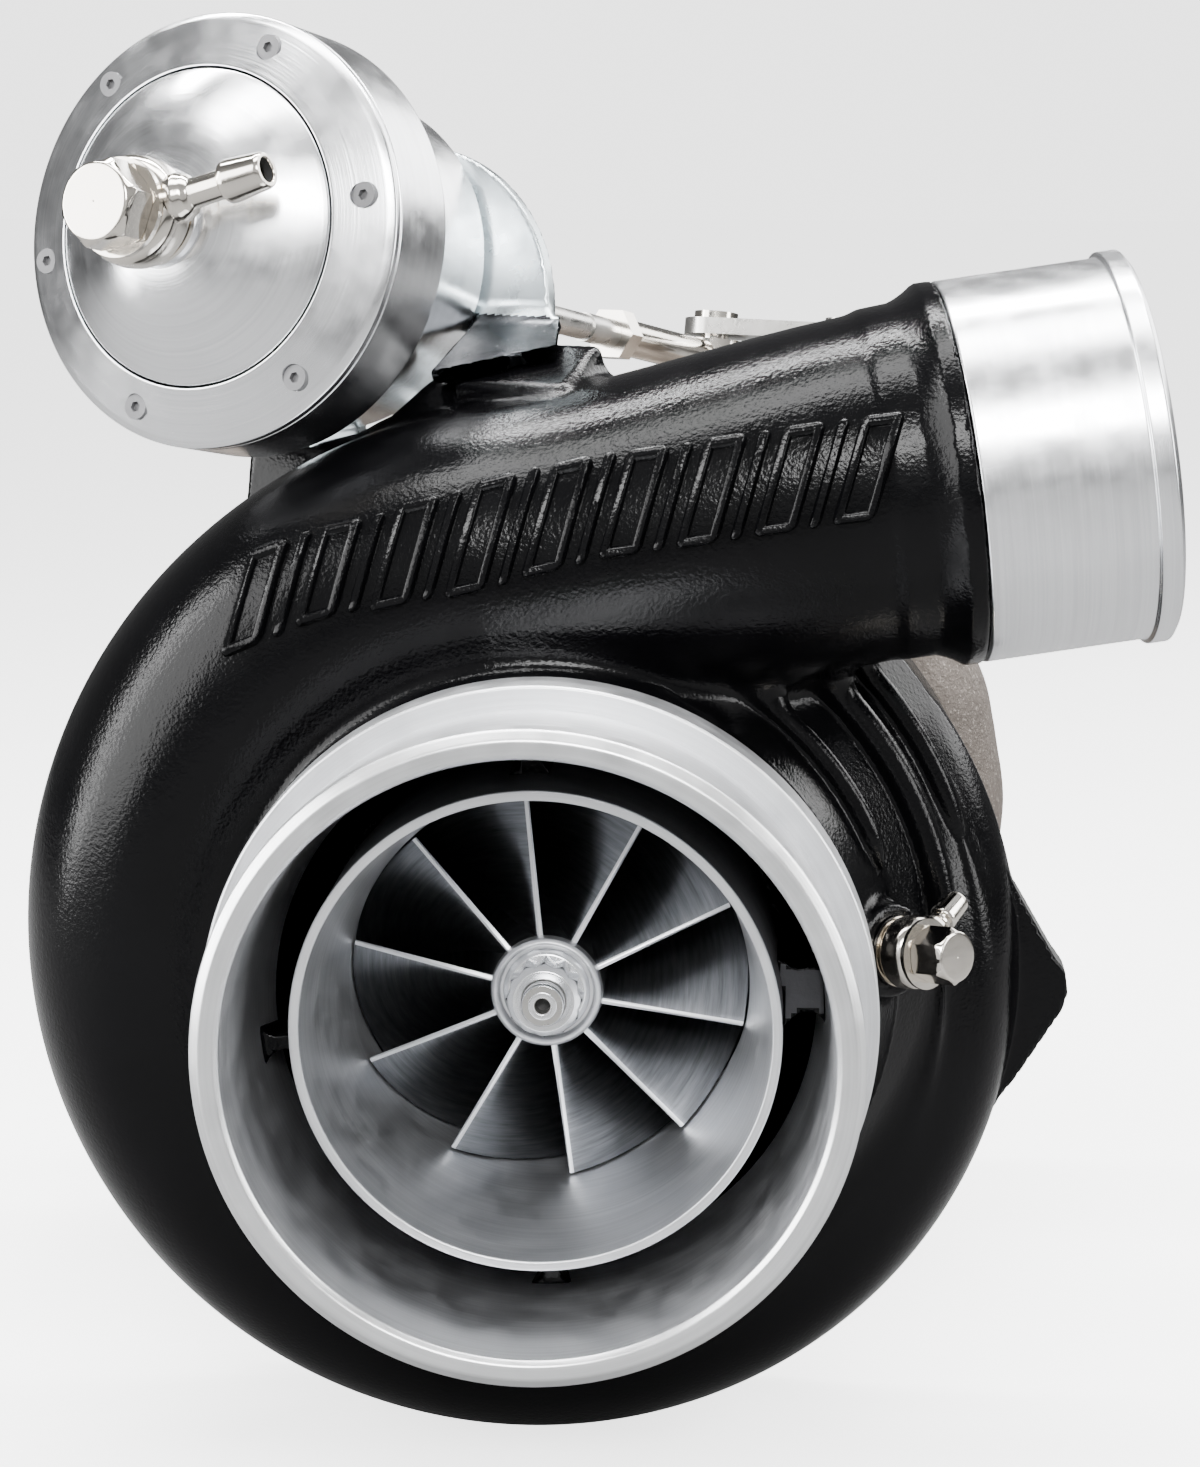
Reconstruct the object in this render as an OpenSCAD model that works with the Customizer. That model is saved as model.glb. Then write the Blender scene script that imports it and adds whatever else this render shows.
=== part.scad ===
// Turbocharger with an internal wastegate and a pneumatic actuator.
// Row frame: origin at the centre of the turbine inlet flange face, +Z up, +Y from the
// compressor towards the turbine outlet, +X to the right seen from the compressor inlet.

/* [Placement] */
// Height of the shaft axis above the turbine inlet flange face
shaft_height = 86; // [85:1:88]
// Sideways distance from the turbine inlet centre to the shaft axis
shaft_offset = 30; // [29:1:31]
// Distance along the shaft from the compressor inlet lip to the turbine inlet centre
inlet_to_flange = 180; // [180:1:181]

/* [Compressor] */
// Outer radius of the compressor inlet pipe
inlet_r = 50.8; // [50.4:0.1:51]
// Radius of the hose bead on the inlet pipe
inlet_bead_r = 52; // [51.8:0.1:52.2]
// Inducer radius of the compressor wheel
inducer_r = 33; // [32.8:0.1:33.2]
// Exducer radius of the compressor wheel
exducer_r = 44; // [43.8:0.1:44.2]
// Number of full blades on the compressor wheel
comp_blades = 10; // [9:1:11]
// Radius of the circle that the compressor scroll's centre line follows
volute_r = 67.5; // [67:0.1:68]
// Outer radius of the compressor outlet spigot
outlet_r = 31.75; // [31.5:0.05:32]
// Length of the plain part of the outlet spigot
spigot_len = 27.3; // [26:0.1:29]

/* [Turbine] */
// Number of blades on the turbine wheel
turb_blades = 11; // [10:1:12]
// Radius of the turbine wheel where the gas enters
turb_inducer_r = 31; // [30.8:0.1:31]
// Radius of the turbine wheel where the gas leaves
turb_exducer_r = 27; // [26.8:0.1:27]
// Bolt spacing across the turbine inlet flange
flange_pitch_x = 50.8; // [50:0.1:52]
// Bolt spacing along the turbine inlet flange
flange_pitch_y = 85.7; // [85:0.1:87]

/* [Actuator] */
// Outer radius of the actuator canister
can_r = 36; // [35.8:0.1:36]
// Outer radius of the canister's rear barrel
barrel_r = 29; // [28.8:0.1:29]
// Travel of the actuator rod
rod_travel = 10; // [8:0.5:10]
// Distance from the wastegate shaft to the lever pin
lever_r = 28; // [28:0.1:28.1]

/* [Hidden] */
$fn = 96;

eps = 0.02;
inlet = [shaft_offset, -inlet_to_flange, shaft_height];
slip = 0.02;                    // radial play of parts held together
run = 0.05;                     // radial play of a running fit

// Axial stations along the shaft, measured from the compressor inlet lip
shoulder_y = 27;
shroud_ring_y = 18.5;
leading_y = 51;
nose_y = 44.3;
shaft_end_y = 35.8;
diffuser_y = 87;
backplate_y = 92;
rim_y = 99;
joint_y = 104;
housing_rear_y = 158;
turbine_front_y = 150;
turbine_y = 178;
outlet_flange_y = 242;

// Compressor scroll
volute_rate = 2.06;             // flow radius squared per degree of turn
volute_wall = 3.2;
volute_rear_y = 97;
tongue_angle = 35;
volute_start = 12;
outlet_turn = 297;
outlet_at = [66.6, 66.8, 84];
outlet_up = 8.1;
outlet_back = 5.1;
outlet_dir = [cos(outlet_up) * cos(outlet_back), cos(outlet_up) * sin(outlet_back),
    sin(outlet_up)];
neck_r = 28.9;
tube_sides = 24;

// Actuator frame: origin at the front rim of the canister, local +Y along the rod
can_at = [-56.6, 63.5, 123.6];
can_yaw = -25.26;
can_pitch = -10.2;
barrel_end = 42;
plate_t = 3;
pin_s = 188;
pin_lead = rod_travel / 2;
lever_side = sqrt(lever_r * lever_r - pin_lead * pin_lead);
gate_turn = 25.6;               // from the rod direction to the valve's closing direction
valve_z = -37;
valve_x = -22;

function unit(v) = v / norm(v);
function sweep_ring(centre, dir, r, n) =
    let (side = unit([0, 1, 0] - dir[1] * dir), out = cross(side, dir))
    [for (i = [0:n - 1]) centre + r * (cos(360 * i / n) * out + sin(360 * i / n) * side)];

// Skins a list of rings with the same number of points, closed at both ends
module skin(rings) {
    n = len(rings[0]);
    last = len(rings) - 1;
    sides = [for (k = [0:last - 1], i = [0:n - 1]) let (a = k * n + i,
        b = k * n + (i + 1) % n) each [[a, a + n, b + n], [a, b + n, b]]];
    start = [for (i = [0:n - 1]) i];
    end = [for (i = [n - 1:-1:0]) last * n + i];
    polyhedron([for (ring = rings) each ring], concat([start], sides, [end]), convexity = 6);
}

module at_shaft() { translate(inlet) children(); }
module turned(profile) { rotate([-90, 0, 0]) rotate_extrude() polygon(profile); }
module rod_y(r, y0, y1) { translate([0, y0, 0]) rotate([-90, 0, 0]) cylinder(r = r, h = y1 - y0); }
module ring_y(r_in, r_out, y0, y1) {
    turned([[r_in, y0], [r_out, y0], [r_out, y1], [r_in, y1]]);
}
module hex_y(af, y0, y1) {
    translate([0, y0, 0]) rotate([-90, 0, 0]) cylinder(d = af / cos(30), h = y1 - y0, $fn = 6);
}
// Copies round the shaft at radius r
module around(count, r, first = 0) {
    for (i = [0:count - 1]) rotate([0, first + i * 360 / count, 0]) translate([r, 0, 0]) children();
}
module at_outlet() {
    translate(outlet_at) rotate([0, 90 - outlet_up, outlet_back]) children();
}
module can_frame() {
    translate(can_at) rotate([0, 0, can_yaw]) rotate([can_pitch, 0, 0]) children();
}
module at_can() { at_shaft() can_frame() children(); }
// Wastegate shaft frame: local Z along the shaft, its origin level with the rod axis
module gate_frame() { can_frame() translate([lever_side, pin_s + pin_lead, 0]) children(); }
module at_gate() { at_shaft() gate_frame() children(); }
module at_valve() { at_gate() rotate([0, 0, gate_turn]) children(); }

// ---------------------------------------------------------------- compressor cover
function flow_r(turn) = sqrt(volute_rate * turn);
function scroll_centre(turn) = let (a = tongue_angle - turn)
    [volute_r * cos(a), volute_rear_y - volute_wall - flow_r(turn), volute_r * sin(a)];
function scroll_dir(turn) = let (a = tongue_angle - turn) [sin(a), 0, -cos(a)];
function scroll_ring(turn, wall) =
    sweep_ring(scroll_centre(turn), scroll_dir(turn), flow_r(turn) + wall, tube_sides);
// The neck bends gently from the end of the scroll to the outlet spigot
neck_from = scroll_centre(outlet_turn);
neck_dir = scroll_dir(outlet_turn);
neck_len = norm(outlet_at - neck_from);
function neck_point(t) = (2 * t ^ 3 - 3 * t ^ 2 + 1) * neck_from
    + (t ^ 3 - 2 * t ^ 2 + t) * neck_len * neck_dir
    + (3 * t ^ 2 - 2 * t ^ 3) * outlet_at + (t ^ 3 - t ^ 2) * neck_len * outlet_dir;
function neck_ring(t, wall) = let (
        dir = t >= 1 ? outlet_dir : unit(neck_point(t + 0.001) - neck_point(t)),
        r0 = flow_r(outlet_turn), r1 = neck_r - volute_wall)
    sweep_ring(neck_point(t), dir, r0 + (r1 - r0) * t + wall, tube_sides);
module scroll(wall, start) {
    steps = 30;
    neck_steps = 7;
    skin(concat(
        [for (i = [0:steps]) scroll_ring(start + (outlet_turn - start) * i / steps, wall)],
        [for (i = [1:neck_steps]) neck_ring(i / neck_steps, wall)]));
}
// Wheel outlines as [radius, y]: a quarter ellipse from axial to radial
tip_y = 86.5;
hub_front = [9.3, 46.5];
hub_rim_y = 90.6;
function shroud_line(m, gap = 0) = [inducer_r + gap + (exducer_r - inducer_r) * (1 - cos(90 * m)),
    leading_y + (tip_y - leading_y) * sin(90 * m)];
function hub_line(m) = [hub_front[0] + (exducer_r - hub_front[0]) * (1 - cos(90 * m)),
    hub_front[1] + (hub_rim_y - hub_front[1]) * sin(90 * m)];
shroud_gap = 0.45;

module cover_bore() {
    contour = [for (i = [0:10]) shroud_line(i / 10, shroud_gap)];
    turned(concat([[0, -1], [48, -1], [47.2, 0.6], [46.6, shroud_ring_y], [37.4, shroud_ring_y]],
        contour, [[exducer_r + 1.5, diffuser_y], [62, diffuser_y], [62, rim_y],
        [67, rim_y], [67, joint_y + 1], [0, joint_y + 1]]));
}
module cover_pocket() {
    web_w = 5;
    difference() {
        turned([[39.1, shroud_ring_y - 0.1], [46.7, shroud_ring_y - 0.1], [45.5, 48], [43, 56],
            [40, 60.5], [inducer_r - 1, 60.5], [inducer_r - 1, 57.5], [38.2, 57.5], [39.1, 46]]);
        for (a = [8:90:278]) rotate([0, -a, 0]) translate([36.5, 32, -web_w / 2])
            cube([12, 22, web_w]);
    }
}
// Bracket leg: sideways shift of its centre line, width, and place of its bolts
leg_x = -3.5;
leg_w = 18;
leg_bolt_u = 4.5;
leg_bolt_z = -36.5;
// Frame of the bracket's foot, inside the canister frame
foot_tilt = 37;
module foot_frame() { translate([0, barrel_end, -11]) rotate([foot_tilt, 0, 0]) children(); }
boost_at = [57.5, 51, 6.3];
boost_yaw = -44;
boost_scale = 0.68;
module boost_frame() {
    translate(boost_at) rotate([0, 0, boost_yaw]) rotate([0, 84, 0]) children();
}
lug_hole_r = 3.4;
lug_at = [79.6, -8];
module compressor_cover() {
    color([0.04, 0.04, 0.045]) at_shaft() difference() {
        union() {
            turned([[0, 0], [inlet_r - 0.6, 0], [inlet_bead_r, 1.3], [inlet_bead_r, 5.1],
                [inlet_r, 6.4], [inlet_r, shoulder_y], [53.8, shoulder_y], [53.8, 33],
                [52.6, 35], [52.6, 47], [58, 60], [66, 70], [72, 80], [76.5, 88],
                [76.5, joint_y], [0, joint_y]]);
            scroll(volute_wall, 4);
            at_outlet() {
                translate([0, 0, -7]) cylinder(r1 = neck_r - 0.6, r2 = outlet_r + 0.1, h = 4.5);
                translate([0, 0, -2.5]) cylinder(r = outlet_r + 0.1, h = 2.5);
                translate([0, 0, -1]) cylinder(r = outlet_r, h = spigot_len + 3);
                translate([0, 0, spigot_len]) cylinder(r = outlet_r + 0.9, h = 3.4);
                translate([0, 0, spigot_len + 3.4])
                    cylinder(r1 = outlet_r + 0.9, r2 = outlet_r - 0.5, h = 0.9);
            }
            support_lug();
            boost_frame() translate([0, 0, -9]) cylinder(r = 8.6, h = 9);
            can_frame() foot_frame() translate([31, -16.5, -17]) cube([22, 15, 17]);
            can_frame() translate([leg_x - leg_w / 2, 30.5, -57])
                cube([leg_w, barrel_end - 30.5, 24.4]);
        }
        scroll(0, volute_start);
        at_outlet() translate([0, 0, -8]) cylinder(r = neck_r - volute_wall - 0.2, h = 50);
        at_outlet() translate([0, 0, spigot_len + 1])
            cylinder(r1 = neck_r - volute_wall - 0.2, r2 = 30, h = 3.31);
        cover_bore();
        cover_pocket();
        boost_frame() translate([0, 0, -14]) cylinder(r = 2.5, h = 15);
        around(6, 71.7, 15) rod_y(3, joint_y - 14, joint_y + 1);
        translate([lug_at[0], 0, lug_at[1]]) rod_y(lug_hole_r, 80, 100);
        for (s = [-1, 1]) can_frame() translate([leg_x + s * leg_bolt_u, 0, leg_bolt_z])
             rod_y(2.5, 33, barrel_end + 1);
    }
}
// Ear on the cover's rear rim with a threaded hole for a support bracket
module support_lug() {
    translate([0, 96, 0]) rotate([90, 0, 0]) linear_extrude(height = 11) union() {
        polygon([[68, 24], [79.5, 8], [86.8, -4.2], [86.8, -13.2], [79.5, -25], [68, -40]]);
        translate([82.2, -8.7]) circle(r = 6.4);
    }
}
// ---------------------------------------------------------------- wheels
// Blade skinned between two spans; pos(m, s) follows [radius, y, angle]
function polar(r, y, a) = [r * cos(a), y, r * sin(a)];
comp_lead = -12;
function comp_angle(m) = comp_lead + 56 * (1 - (1 - m) ^ 3) + 12 * m ^ 3;
function comp_pos(m, s) = let (p = (1 - s) * hub_line(m) + s * shroud_line(m))
    polar(p[0], p[1], comp_angle(m));
function comp_skin(m, s, side) = let (
        n = unit(cross(comp_pos(m + 0.01, s) - comp_pos(m, s), comp_pos(m, s + 0.02) - comp_pos(m, s))),
        t = (1.7 - 1.2 * max(s, 0)) * (m < 0.001 ? 0.5 : 1))
    comp_pos(m, s) + side * t / 2 * n;
module comp_blade() {
    spans = [-0.06, 0.3, 0.65, 1];
    steps = 12;
    skin([for (i = [0:steps]) let (m = 0.985 * i / steps) concat(
        [for (s = spans) comp_skin(m, s, -1)], [for (j = [3:-1:0]) comp_skin(m, spans[j], 1)])]);
}
module compressor_wheel() {
    hub = [for (i = [0:14]) hub_line(i / 14)];
    color([0.75, 0.76, 0.78]) at_shaft() difference() {
        union() {
            turned(concat([[0, nose_y], [8.5, nose_y], [9.1, nose_y + 0.6]], hub,
                [[exducer_r, 91.6], [20, 92.2], [8, 92.5], [0, 92.5]]));
            for (i = [0:comp_blades - 1]) rotate([0, -i * 360 / comp_blades, 0]) comp_blade();
        }
        rod_y(4, 30, 95);
        turned([[0, nose_y - 1], [8.1, nose_y - 1], [7.8, nose_y + 2.2], [0, nose_y + 2.2]]);
    }
}
module compressor_nut() {
    body_y = 38.6;
    flange_y = nose_y + 2.2;
    color([0.72, 0.72, 0.74]) at_shaft() difference() {
        union() {
            rod_y(7.2, flange_y - 1.6, flange_y);
            for (a = [0, 30]) rotate([0, a, 0]) hex_y(11, body_y, flange_y - 1.5);
        }
        rod_y(3.5 + slip, body_y - 1, flange_y + 1);
    }
}
// Turbine wheel outlines as [radius, y]
turb_hub_r = 8.5;
function turb_hub(m) = [turb_hub_r + (turb_inducer_r - turb_hub_r) * (1 - sin(90 * m)),
    163 + 35 * (1 - cos(90 * m))];
function turb_shroud(m, gap = 0) = [turb_exducer_r + gap
    + (turb_inducer_r - turb_exducer_r) * (1 - sin(90 * m)), 173 + 27 * (1 - cos(90 * m))];
function turb_angle(m) = 48 * m ^ 3;
function turb_pos(m, s) = let (p = (1 - s) * turb_hub(m) + s * turb_shroud(m))
    polar(p[0], p[1], turb_angle(m));
function turb_skin(m, s, side) = let (
        n = unit(cross(turb_pos(m + 0.01, s) - turb_pos(m, s), turb_pos(m, s + 0.02) - turb_pos(m, s))),
        t = 2.2 - 1.3 * max(s, 0))
    turb_pos(m, s) + side * t / 2 * n;
module turb_blade() {
    spans = [-0.05, 0.5, 1];
    steps = 9;
    skin([for (i = [0:steps]) let (m = i / steps) concat(
        [for (s = spans) turb_skin(m, s, -1)], [for (j = [2:-1:0]) turb_skin(m, spans[j], 1)])]);
}
module turbine_shaft() {
    hub = [for (i = [3:12]) turb_hub(i / 12) - [0.4, 0]];
    color([0.45, 0.43, 0.42]) at_shaft() {
        turned(concat([[1.3, shaft_end_y + 3], [1.3, shaft_end_y], [3.3, shaft_end_y],
            [3.5, shaft_end_y + 0.4], [3.5, nose_y + 2.6], [4 - slip, nose_y + 3],
            [4 - slip, 108.4], [6 - slip, 108.4], [6 - slip, 151.6], [8.6, 152], [8.6, 154.6],
            [7.3, 154.6], [7.3, 156.2], [8.6, 156.2], [8.6, 159.6], [12, 161], [27, 161.6],
            [27, 163]], hub, [[7.5, 199], [0, 199], [0, shaft_end_y + 3]]));
        hex_y(10, 198.9, 205);
        for (i = [0:turb_blades - 1]) rotate([0, -i * 360 / turb_blades, 0]) turb_blade();
    }
}
// ---------------------------------------------------------------- centre section
module backplate() {
    color([0.7, 0.7, 0.72]) at_shaft() difference() {
        turned([[7.9, backplate_y + 1.1], [exducer_r + 1, backplate_y + 1.1],
            [exducer_r + 1.4, backplate_y], [61.9, backplate_y], [61.9, 94.5], [59.4, 94.5],
            [59.4, 97.5], [61.9, 97.5], [61.9, rim_y + slip], [66.9, rim_y + slip],
            [66.9, joint_y], [12.5, joint_y], [12.5, 101.5], [7.9, 101.5]]);
        around(4, 38, 45) rod_y(3, 96, joint_y + 1);
    }
}
module cover_seal_ring() {
    color([0.1, 0.1, 0.1]) at_shaft() rotate([-90, 0, 0]) translate([0, 0, 96])
        rotate_extrude() translate([60.68, 0]) circle(r = 1.2, $fn = 24);
}
plate_arc = 74;
module arc_plates(r_in, r_out, y0, y1, first, bolt_r, hole_r) {
    for (k = [0:2]) rotate([0, first + 120 * k, 0]) difference() {
        rotate([-90, 0, 0]) translate([0, 0, y0]) rotate([0, 0, -plate_arc / 2])
            rotate_extrude(angle = plate_arc) translate([r_in, 0]) square([r_out - r_in, y1 - y0]);
        for (a = [-30, 30]) rotate([0, a, 0]) translate([bolt_r, 0, 0]) rod_y(hole_r, y0 - 1, y1 + 1);
    }
}
module cover_clamp_plates() {
    color([0.6, 0.6, 0.62]) at_shaft()
        arc_plates(62, 76.4, joint_y + slip, joint_y + 3, 45, 71.7, 3.3);
}
module bolt_y(r, af, seat_y, length, head) {
    rod_y(r, seat_y - length, seat_y + eps);
    difference() {
        hex_y(af, seat_y, seat_y + head);
        rod_y(af * 0.28, seat_y + head - 0.6, seat_y + head + 1);
    }
}
module cover_bolts() {
    color([0.65, 0.65, 0.67]) at_shaft() around(6, 71.7, 15)
        bolt_y(2.95, 10, joint_y + 3 + slip, 14, 4.2);
}
module backplate_bolts() {
    color([0.35, 0.35, 0.36]) at_shaft() around(4, 38, 45)
        bolt_y(2.95, 10, 112 + slip, 15, 4.2);
}
drain_pitch = 44.5;
drain_z = -46;
oil_z = 42;
module bearing_housing() {
    port_y = 131;
    water_z = 1.5;
    color([0.42, 0.4, 0.38]) at_shaft() difference() {
        union() {
            turned([[0, joint_y], [45, joint_y], [45, 112], [30, 112], [27, 116], [27, 143],
                [34, turbine_front_y], [42.8, turbine_front_y], [42.8, housing_rear_y],
                [0, housing_rear_y]]);
            translate([0, port_y, 0]) cylinder(r = 10.6, h = oil_z);
            translate([-15, port_y - 15, drain_z + 9]) cube([30, 30, 30]);
            translate([-31, port_y - 10.5, drain_z]) cube([62, 21, 9.5]);
            for (s = [-1, 1]) translate([0, port_y, s * water_z]) rotate([0, s * 90, 0])
                cylinder(r = 10.6, h = 36);
        }
        turned([[0, joint_y - 1], [24.2, joint_y - 1], [24.2, 106.45], [12.5, 106.45],
            [12.5, 110], [9, 110], [9, 151], [9.2, 151], [9.2, housing_rear_y + 1],
            [0, housing_rear_y + 1]]);
        difference() {
            ring_y(14, 22, 119, 146);
            translate([-13.5, 118, -40]) cube([27, 30, 40]);
        }
        translate([0, port_y, 0]) cylinder(r = 2, h = 40);
        translate([0, port_y, oil_z - 14]) cylinder(r = 5.1, h = 15);
        translate([0, port_y, drain_z - 1]) cylinder(r = 9.5, h = 41);
        for (s = [-1, 1]) {
            translate([s * drain_pitch / 2, port_y, drain_z - 1]) cylinder(r = 4.2, h = 12);
            translate([0, port_y, s * water_z]) rotate([0, s * 90, 0]) translate([0, 0, 20])
                cylinder(r = 6.4, h = 17);
        }
        translate([0, 142, 0]) rotate([0, 90, 0]) cylinder(r = 1.55, h = 13.5);
        around(4, 38, 45) rod_y(3.2, joint_y - 1, 113);
    }
}
module thrust_collar() {
    color([0.6, 0.6, 0.62]) at_shaft() turned([[4 + slip, 92.5], [7.5, 92.5], [7.5, 96],
        [6.3, 96], [6.3, 97.6], [7.5, 97.6], [7.5, 101.9], [11, 101.9], [11, 103.8], [7, 103.8],
        [7, 106.6], [11, 106.6], [11, 108.38], [4 + slip, 108.38]]);
}
module thrust_bearing() {
    color([0.72, 0.58, 0.3]) at_shaft() difference() {
        ring_y(7.1, 24.1, 104 + slip, 106.42);
        for (a = [0:60:300]) rotate([0, a, 0]) translate([9.2, 0, 0]) rod_y(0.7, 103, 107);
    }
}
module journal_bearing() {
    color([0.76, 0.62, 0.32]) at_shaft() difference() {
        turned([[6 + run, 112], [8.95, 112], [8.95, 123], [8.3, 124], [8.3, 138], [8.95, 139],
            [8.95, 150], [6 + run, 150], [6 + run, 140], [6.6, 139], [6.6, 123], [6 + run, 122]]);
        for (y = [117, 145]) translate([0, y, 0])
            cylinder(r = 1, h = 24, center = true);
        translate([0, 142, 0]) rotate([0, 90, 0]) cylinder(r = 1.6, h = 12);
    }
}
module bearing_pin() {
    color([0.6, 0.6, 0.62]) at_shaft() translate([0, 142, 0]) rotate([0, 90, 0])
        translate([0, 0, 7]) cylinder(r = 1.5, h = 6);
}
module split_ring(r_in, r_out, y0, y1) {
    difference() {
        ring_y(r_in, r_out, y0, y1);
        translate([0, y0 - 1, -0.4]) cube([20, y1 - y0 + 2, 0.8]);
    }
}
module compressor_seal_ring() {
    color([0.5, 0.5, 0.5]) at_shaft() split_ring(6.5, 7.86, 96.1, 97.5);
}
module turbine_seal_ring() {
    color([0.5, 0.5, 0.5]) at_shaft() split_ring(7.5, 9.16, 154.7, 156.1);
}
module heat_shield() {
    color([0.5, 0.47, 0.44]) at_shaft() turned([[10, 158.6], [26, 158.6], [30, 158.05],
        [42, 158.05], [42, 159.05], [30.6, 159.05], [26.6, 159.5], [10, 159.5]]);
}
// ---------------------------------------------------------------- turbine housing
turb_wall = 4.5;
scroll_end = 270;               // degrees of turn at the small end of the scroll
function turb_r(turn) = 27 - 0.053 * turn;
function turb_rho(turn) = 71 - 0.03 * turn;
function turb_ring(turn, wall) = let (a = 180 - turn, rho = turb_rho(turn))
    sweep_ring([rho * cos(a), turbine_y, rho * sin(a)], [sin(a), 0, -cos(a)],
        turb_r(turn) - turb_wall + wall, tube_sides);
port_x = 22.5;
port_y = 30;
function squircle(c, e) = (c < 0 ? -1 : 1) * abs(c) ^ (2 / e);
// Section of the inlet leg at height t: a rounded rectangle at the flange, a circle on top
function leg_ring(t, wall) = let (
        ease = t * t * (3 - 2 * t), e = 7 - 5 * ease,
        hx = port_x + (turb_r(0) - turb_wall - port_x) * ease + wall,
        hy = port_y + (turb_r(0) - turb_wall - port_y) * ease + wall,
        cx = -shaft_offset + (shaft_offset - turb_rho(0)) * ease,
        cy = inlet_to_flange + (turbine_y - inlet_to_flange) * ease)
    [for (i = [0:tube_sides - 1]) [cx + hx * squircle(cos(360 * i / tube_sides), e),
        cy + hy * squircle(sin(360 * i / tube_sides), e), -shaft_height * (1 - t)]];
module turbine_scroll(wall, low, end) {
    skin(concat([for (i = [0:6]) leg_ring(low + (1 - low) * i / 6, wall)],
        [for (i = [1:17]) turb_ring(end * i / 17, wall)]));
}
chamber = [[0, 0, 34], [24.3, 54.5, 18.5], [45.5, 56, 8.5]];
outlet_centre = [10, 18];
outlet_pitch = [100, 88];
module chamber_block(y0, y1, wall) {
    translate([0, y1, 0]) rotate([90, 0, 0]) linear_extrude(height = y1 - y0)
        hull() for (c = chamber) translate([c[0], c[1]]) circle(r = c[2] + wall, $fn = 32);
}
module outlet_flange_plate() {
    translate([0, outlet_flange_y, 0]) rotate([90, 0, 0]) linear_extrude(height = 8) hull() {
        for (x = [-1, 1], z = [-1, 1]) translate(outlet_centre)
            translate([x * outlet_pitch[0] / 2, z * outlet_pitch[1] / 2]) circle(r = 9, $fn = 32);
        translate([chamber[1][0], chamber[1][1]]) circle(r = chamber[1][2] + 6, $fn = 32);
    }
}
module turbine_housing() {
    seat_local_y = -5.5;
    color([0.4, 0.37, 0.34]) at_shaft() difference() {
        union() {
            turned([[0, turbine_front_y], [56, turbine_front_y], [57.5, 156], [57.5, 192],
                [44, 204], [40, 212], [0, 212]]);
            turbine_scroll(turb_wall, 0.02, scroll_end);
            chamber_block(196, outlet_flange_y - 1, 4);
            outlet_flange_plate();
            translate([-shaft_offset, inlet_to_flange, -shaft_height]) inlet_flange();
            gate_frame() translate([0, 0, -24]) cylinder(r = 8.5, h = 23);
        }
        turbine_scroll(0, -0.02, scroll_end - 9);
        turned([[0, turbine_front_y - 1], [43, turbine_front_y - 1], [43, 159.1],
            [37.5, 159.1], [37.5, 162.2], [50, 162.2], [50, 173], [0, 173]]);
        turned(concat([[0, 171], [turb_inducer_r + 0.6, 171]],
            [for (i = [0:8]) turb_shroud(i / 8, 0.6)],
            [[31, 216], [0, 216]]));
        ring_y(42, 58, turbine_front_y - 8, turbine_front_y + slip / 2);
        chamber_block(214, outlet_flange_y + 1, 0);
        gate_frame() rotate([0, 0, gate_turn]) translate([valve_x, 0, valve_z]) {
            rod_y(12, -32, seat_local_y + 1);
            rod_y(18, seat_local_y, 12);
        }
        gate_frame() translate([0, 0, -46]) cylinder(r = 7.5, h = 18);
        gate_frame() translate([0, 0, -34]) cylinder(r = 6, h = 36);
        for (x = [-1, 1], z = [-1, 1]) translate([outlet_centre[0] + x * outlet_pitch[0] / 2, 0,
            outlet_centre[1] + z * outlet_pitch[1] / 2]) rod_y(4.25, 228, 244);
        around(6, 49.5, 15) rod_y(3.5, turbine_front_y - 1, turbine_front_y + 11);
        for (x = [-1, 1], y = [-1, 1]) translate([-shaft_offset + x * flange_pitch_x / 2,
            inlet_to_flange + y * flange_pitch_y / 2, -shaft_height - 1]) cylinder(r = 5.25, h = 20);
    }
}
module inlet_flange() {
    hull() for (x = [-1, 1], y = [-1, 1])
        translate([x * flange_pitch_x / 2, y * flange_pitch_y / 2, 0])
            cylinder(r = 12.5, h = 12, $fn = 32);
}
module turbine_clamp_plates() {
    color([0.5, 0.48, 0.46]) at_shaft()
        arc_plates(39, 55.5, turbine_front_y - 3.2, turbine_front_y - slip, 45, 49.5, 3.8);
}
module turbine_bolts() {
    color([0.5, 0.48, 0.46]) at_shaft() around(6, 49.5, 15) translate([0, turbine_front_y, 0])
        rotate([0, 0, 180]) bolt_y(3.45, 11, 3.2 + slip, 13, 5);
}
// ---------------------------------------------------------------- wastegate
module wastegate_bush() {
    color([0.5, 0.48, 0.45]) at_gate() difference() {
        union() {
            translate([0, 0, -27]) cylinder(r = 6 - slip, h = 27);
            translate([0, 0, -1 + slip]) cylinder(r = 7.6, h = 2.5);
        }
        translate([0, 0, -28]) cylinder(r = 4 + run, h = 32);
    }
}
module wastegate_arm() {
    arm_h = 9;
    color([0.5, 0.47, 0.44]) {
        at_gate() translate([0, 0, valve_z - 5]) cylinder(r = 4, h = 10 - valve_z + 5);
        at_valve() difference() {
            union() {
                translate([0, 0, valve_z - arm_h / 2]) cylinder(r = 6.4, h = arm_h);
                translate([valve_x, 0.6, valve_z - arm_h / 2]) cube([-valve_x, 5, arm_h]);
                translate([valve_x, 0, valve_z]) rod_y(6, 0.6, 5.6);
            }
            translate([valve_x, 0, valve_z]) rod_y(3.2, -2, 8);
        }
    }
}
module wastegate_valve() {
    color([0.48, 0.45, 0.43]) at_valve() translate([valve_x, 0, valve_z]) {
        rod_y(14.5, -5.4, 0.2);
        rod_y(3, 0.1, 7.4);
    }
}
module valve_washer() {
    color([0.5, 0.48, 0.46]) at_valve() translate([valve_x, 0, valve_z])
        ring_y(3 + slip, 5.5, 5.7, 7.2);
}
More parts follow.
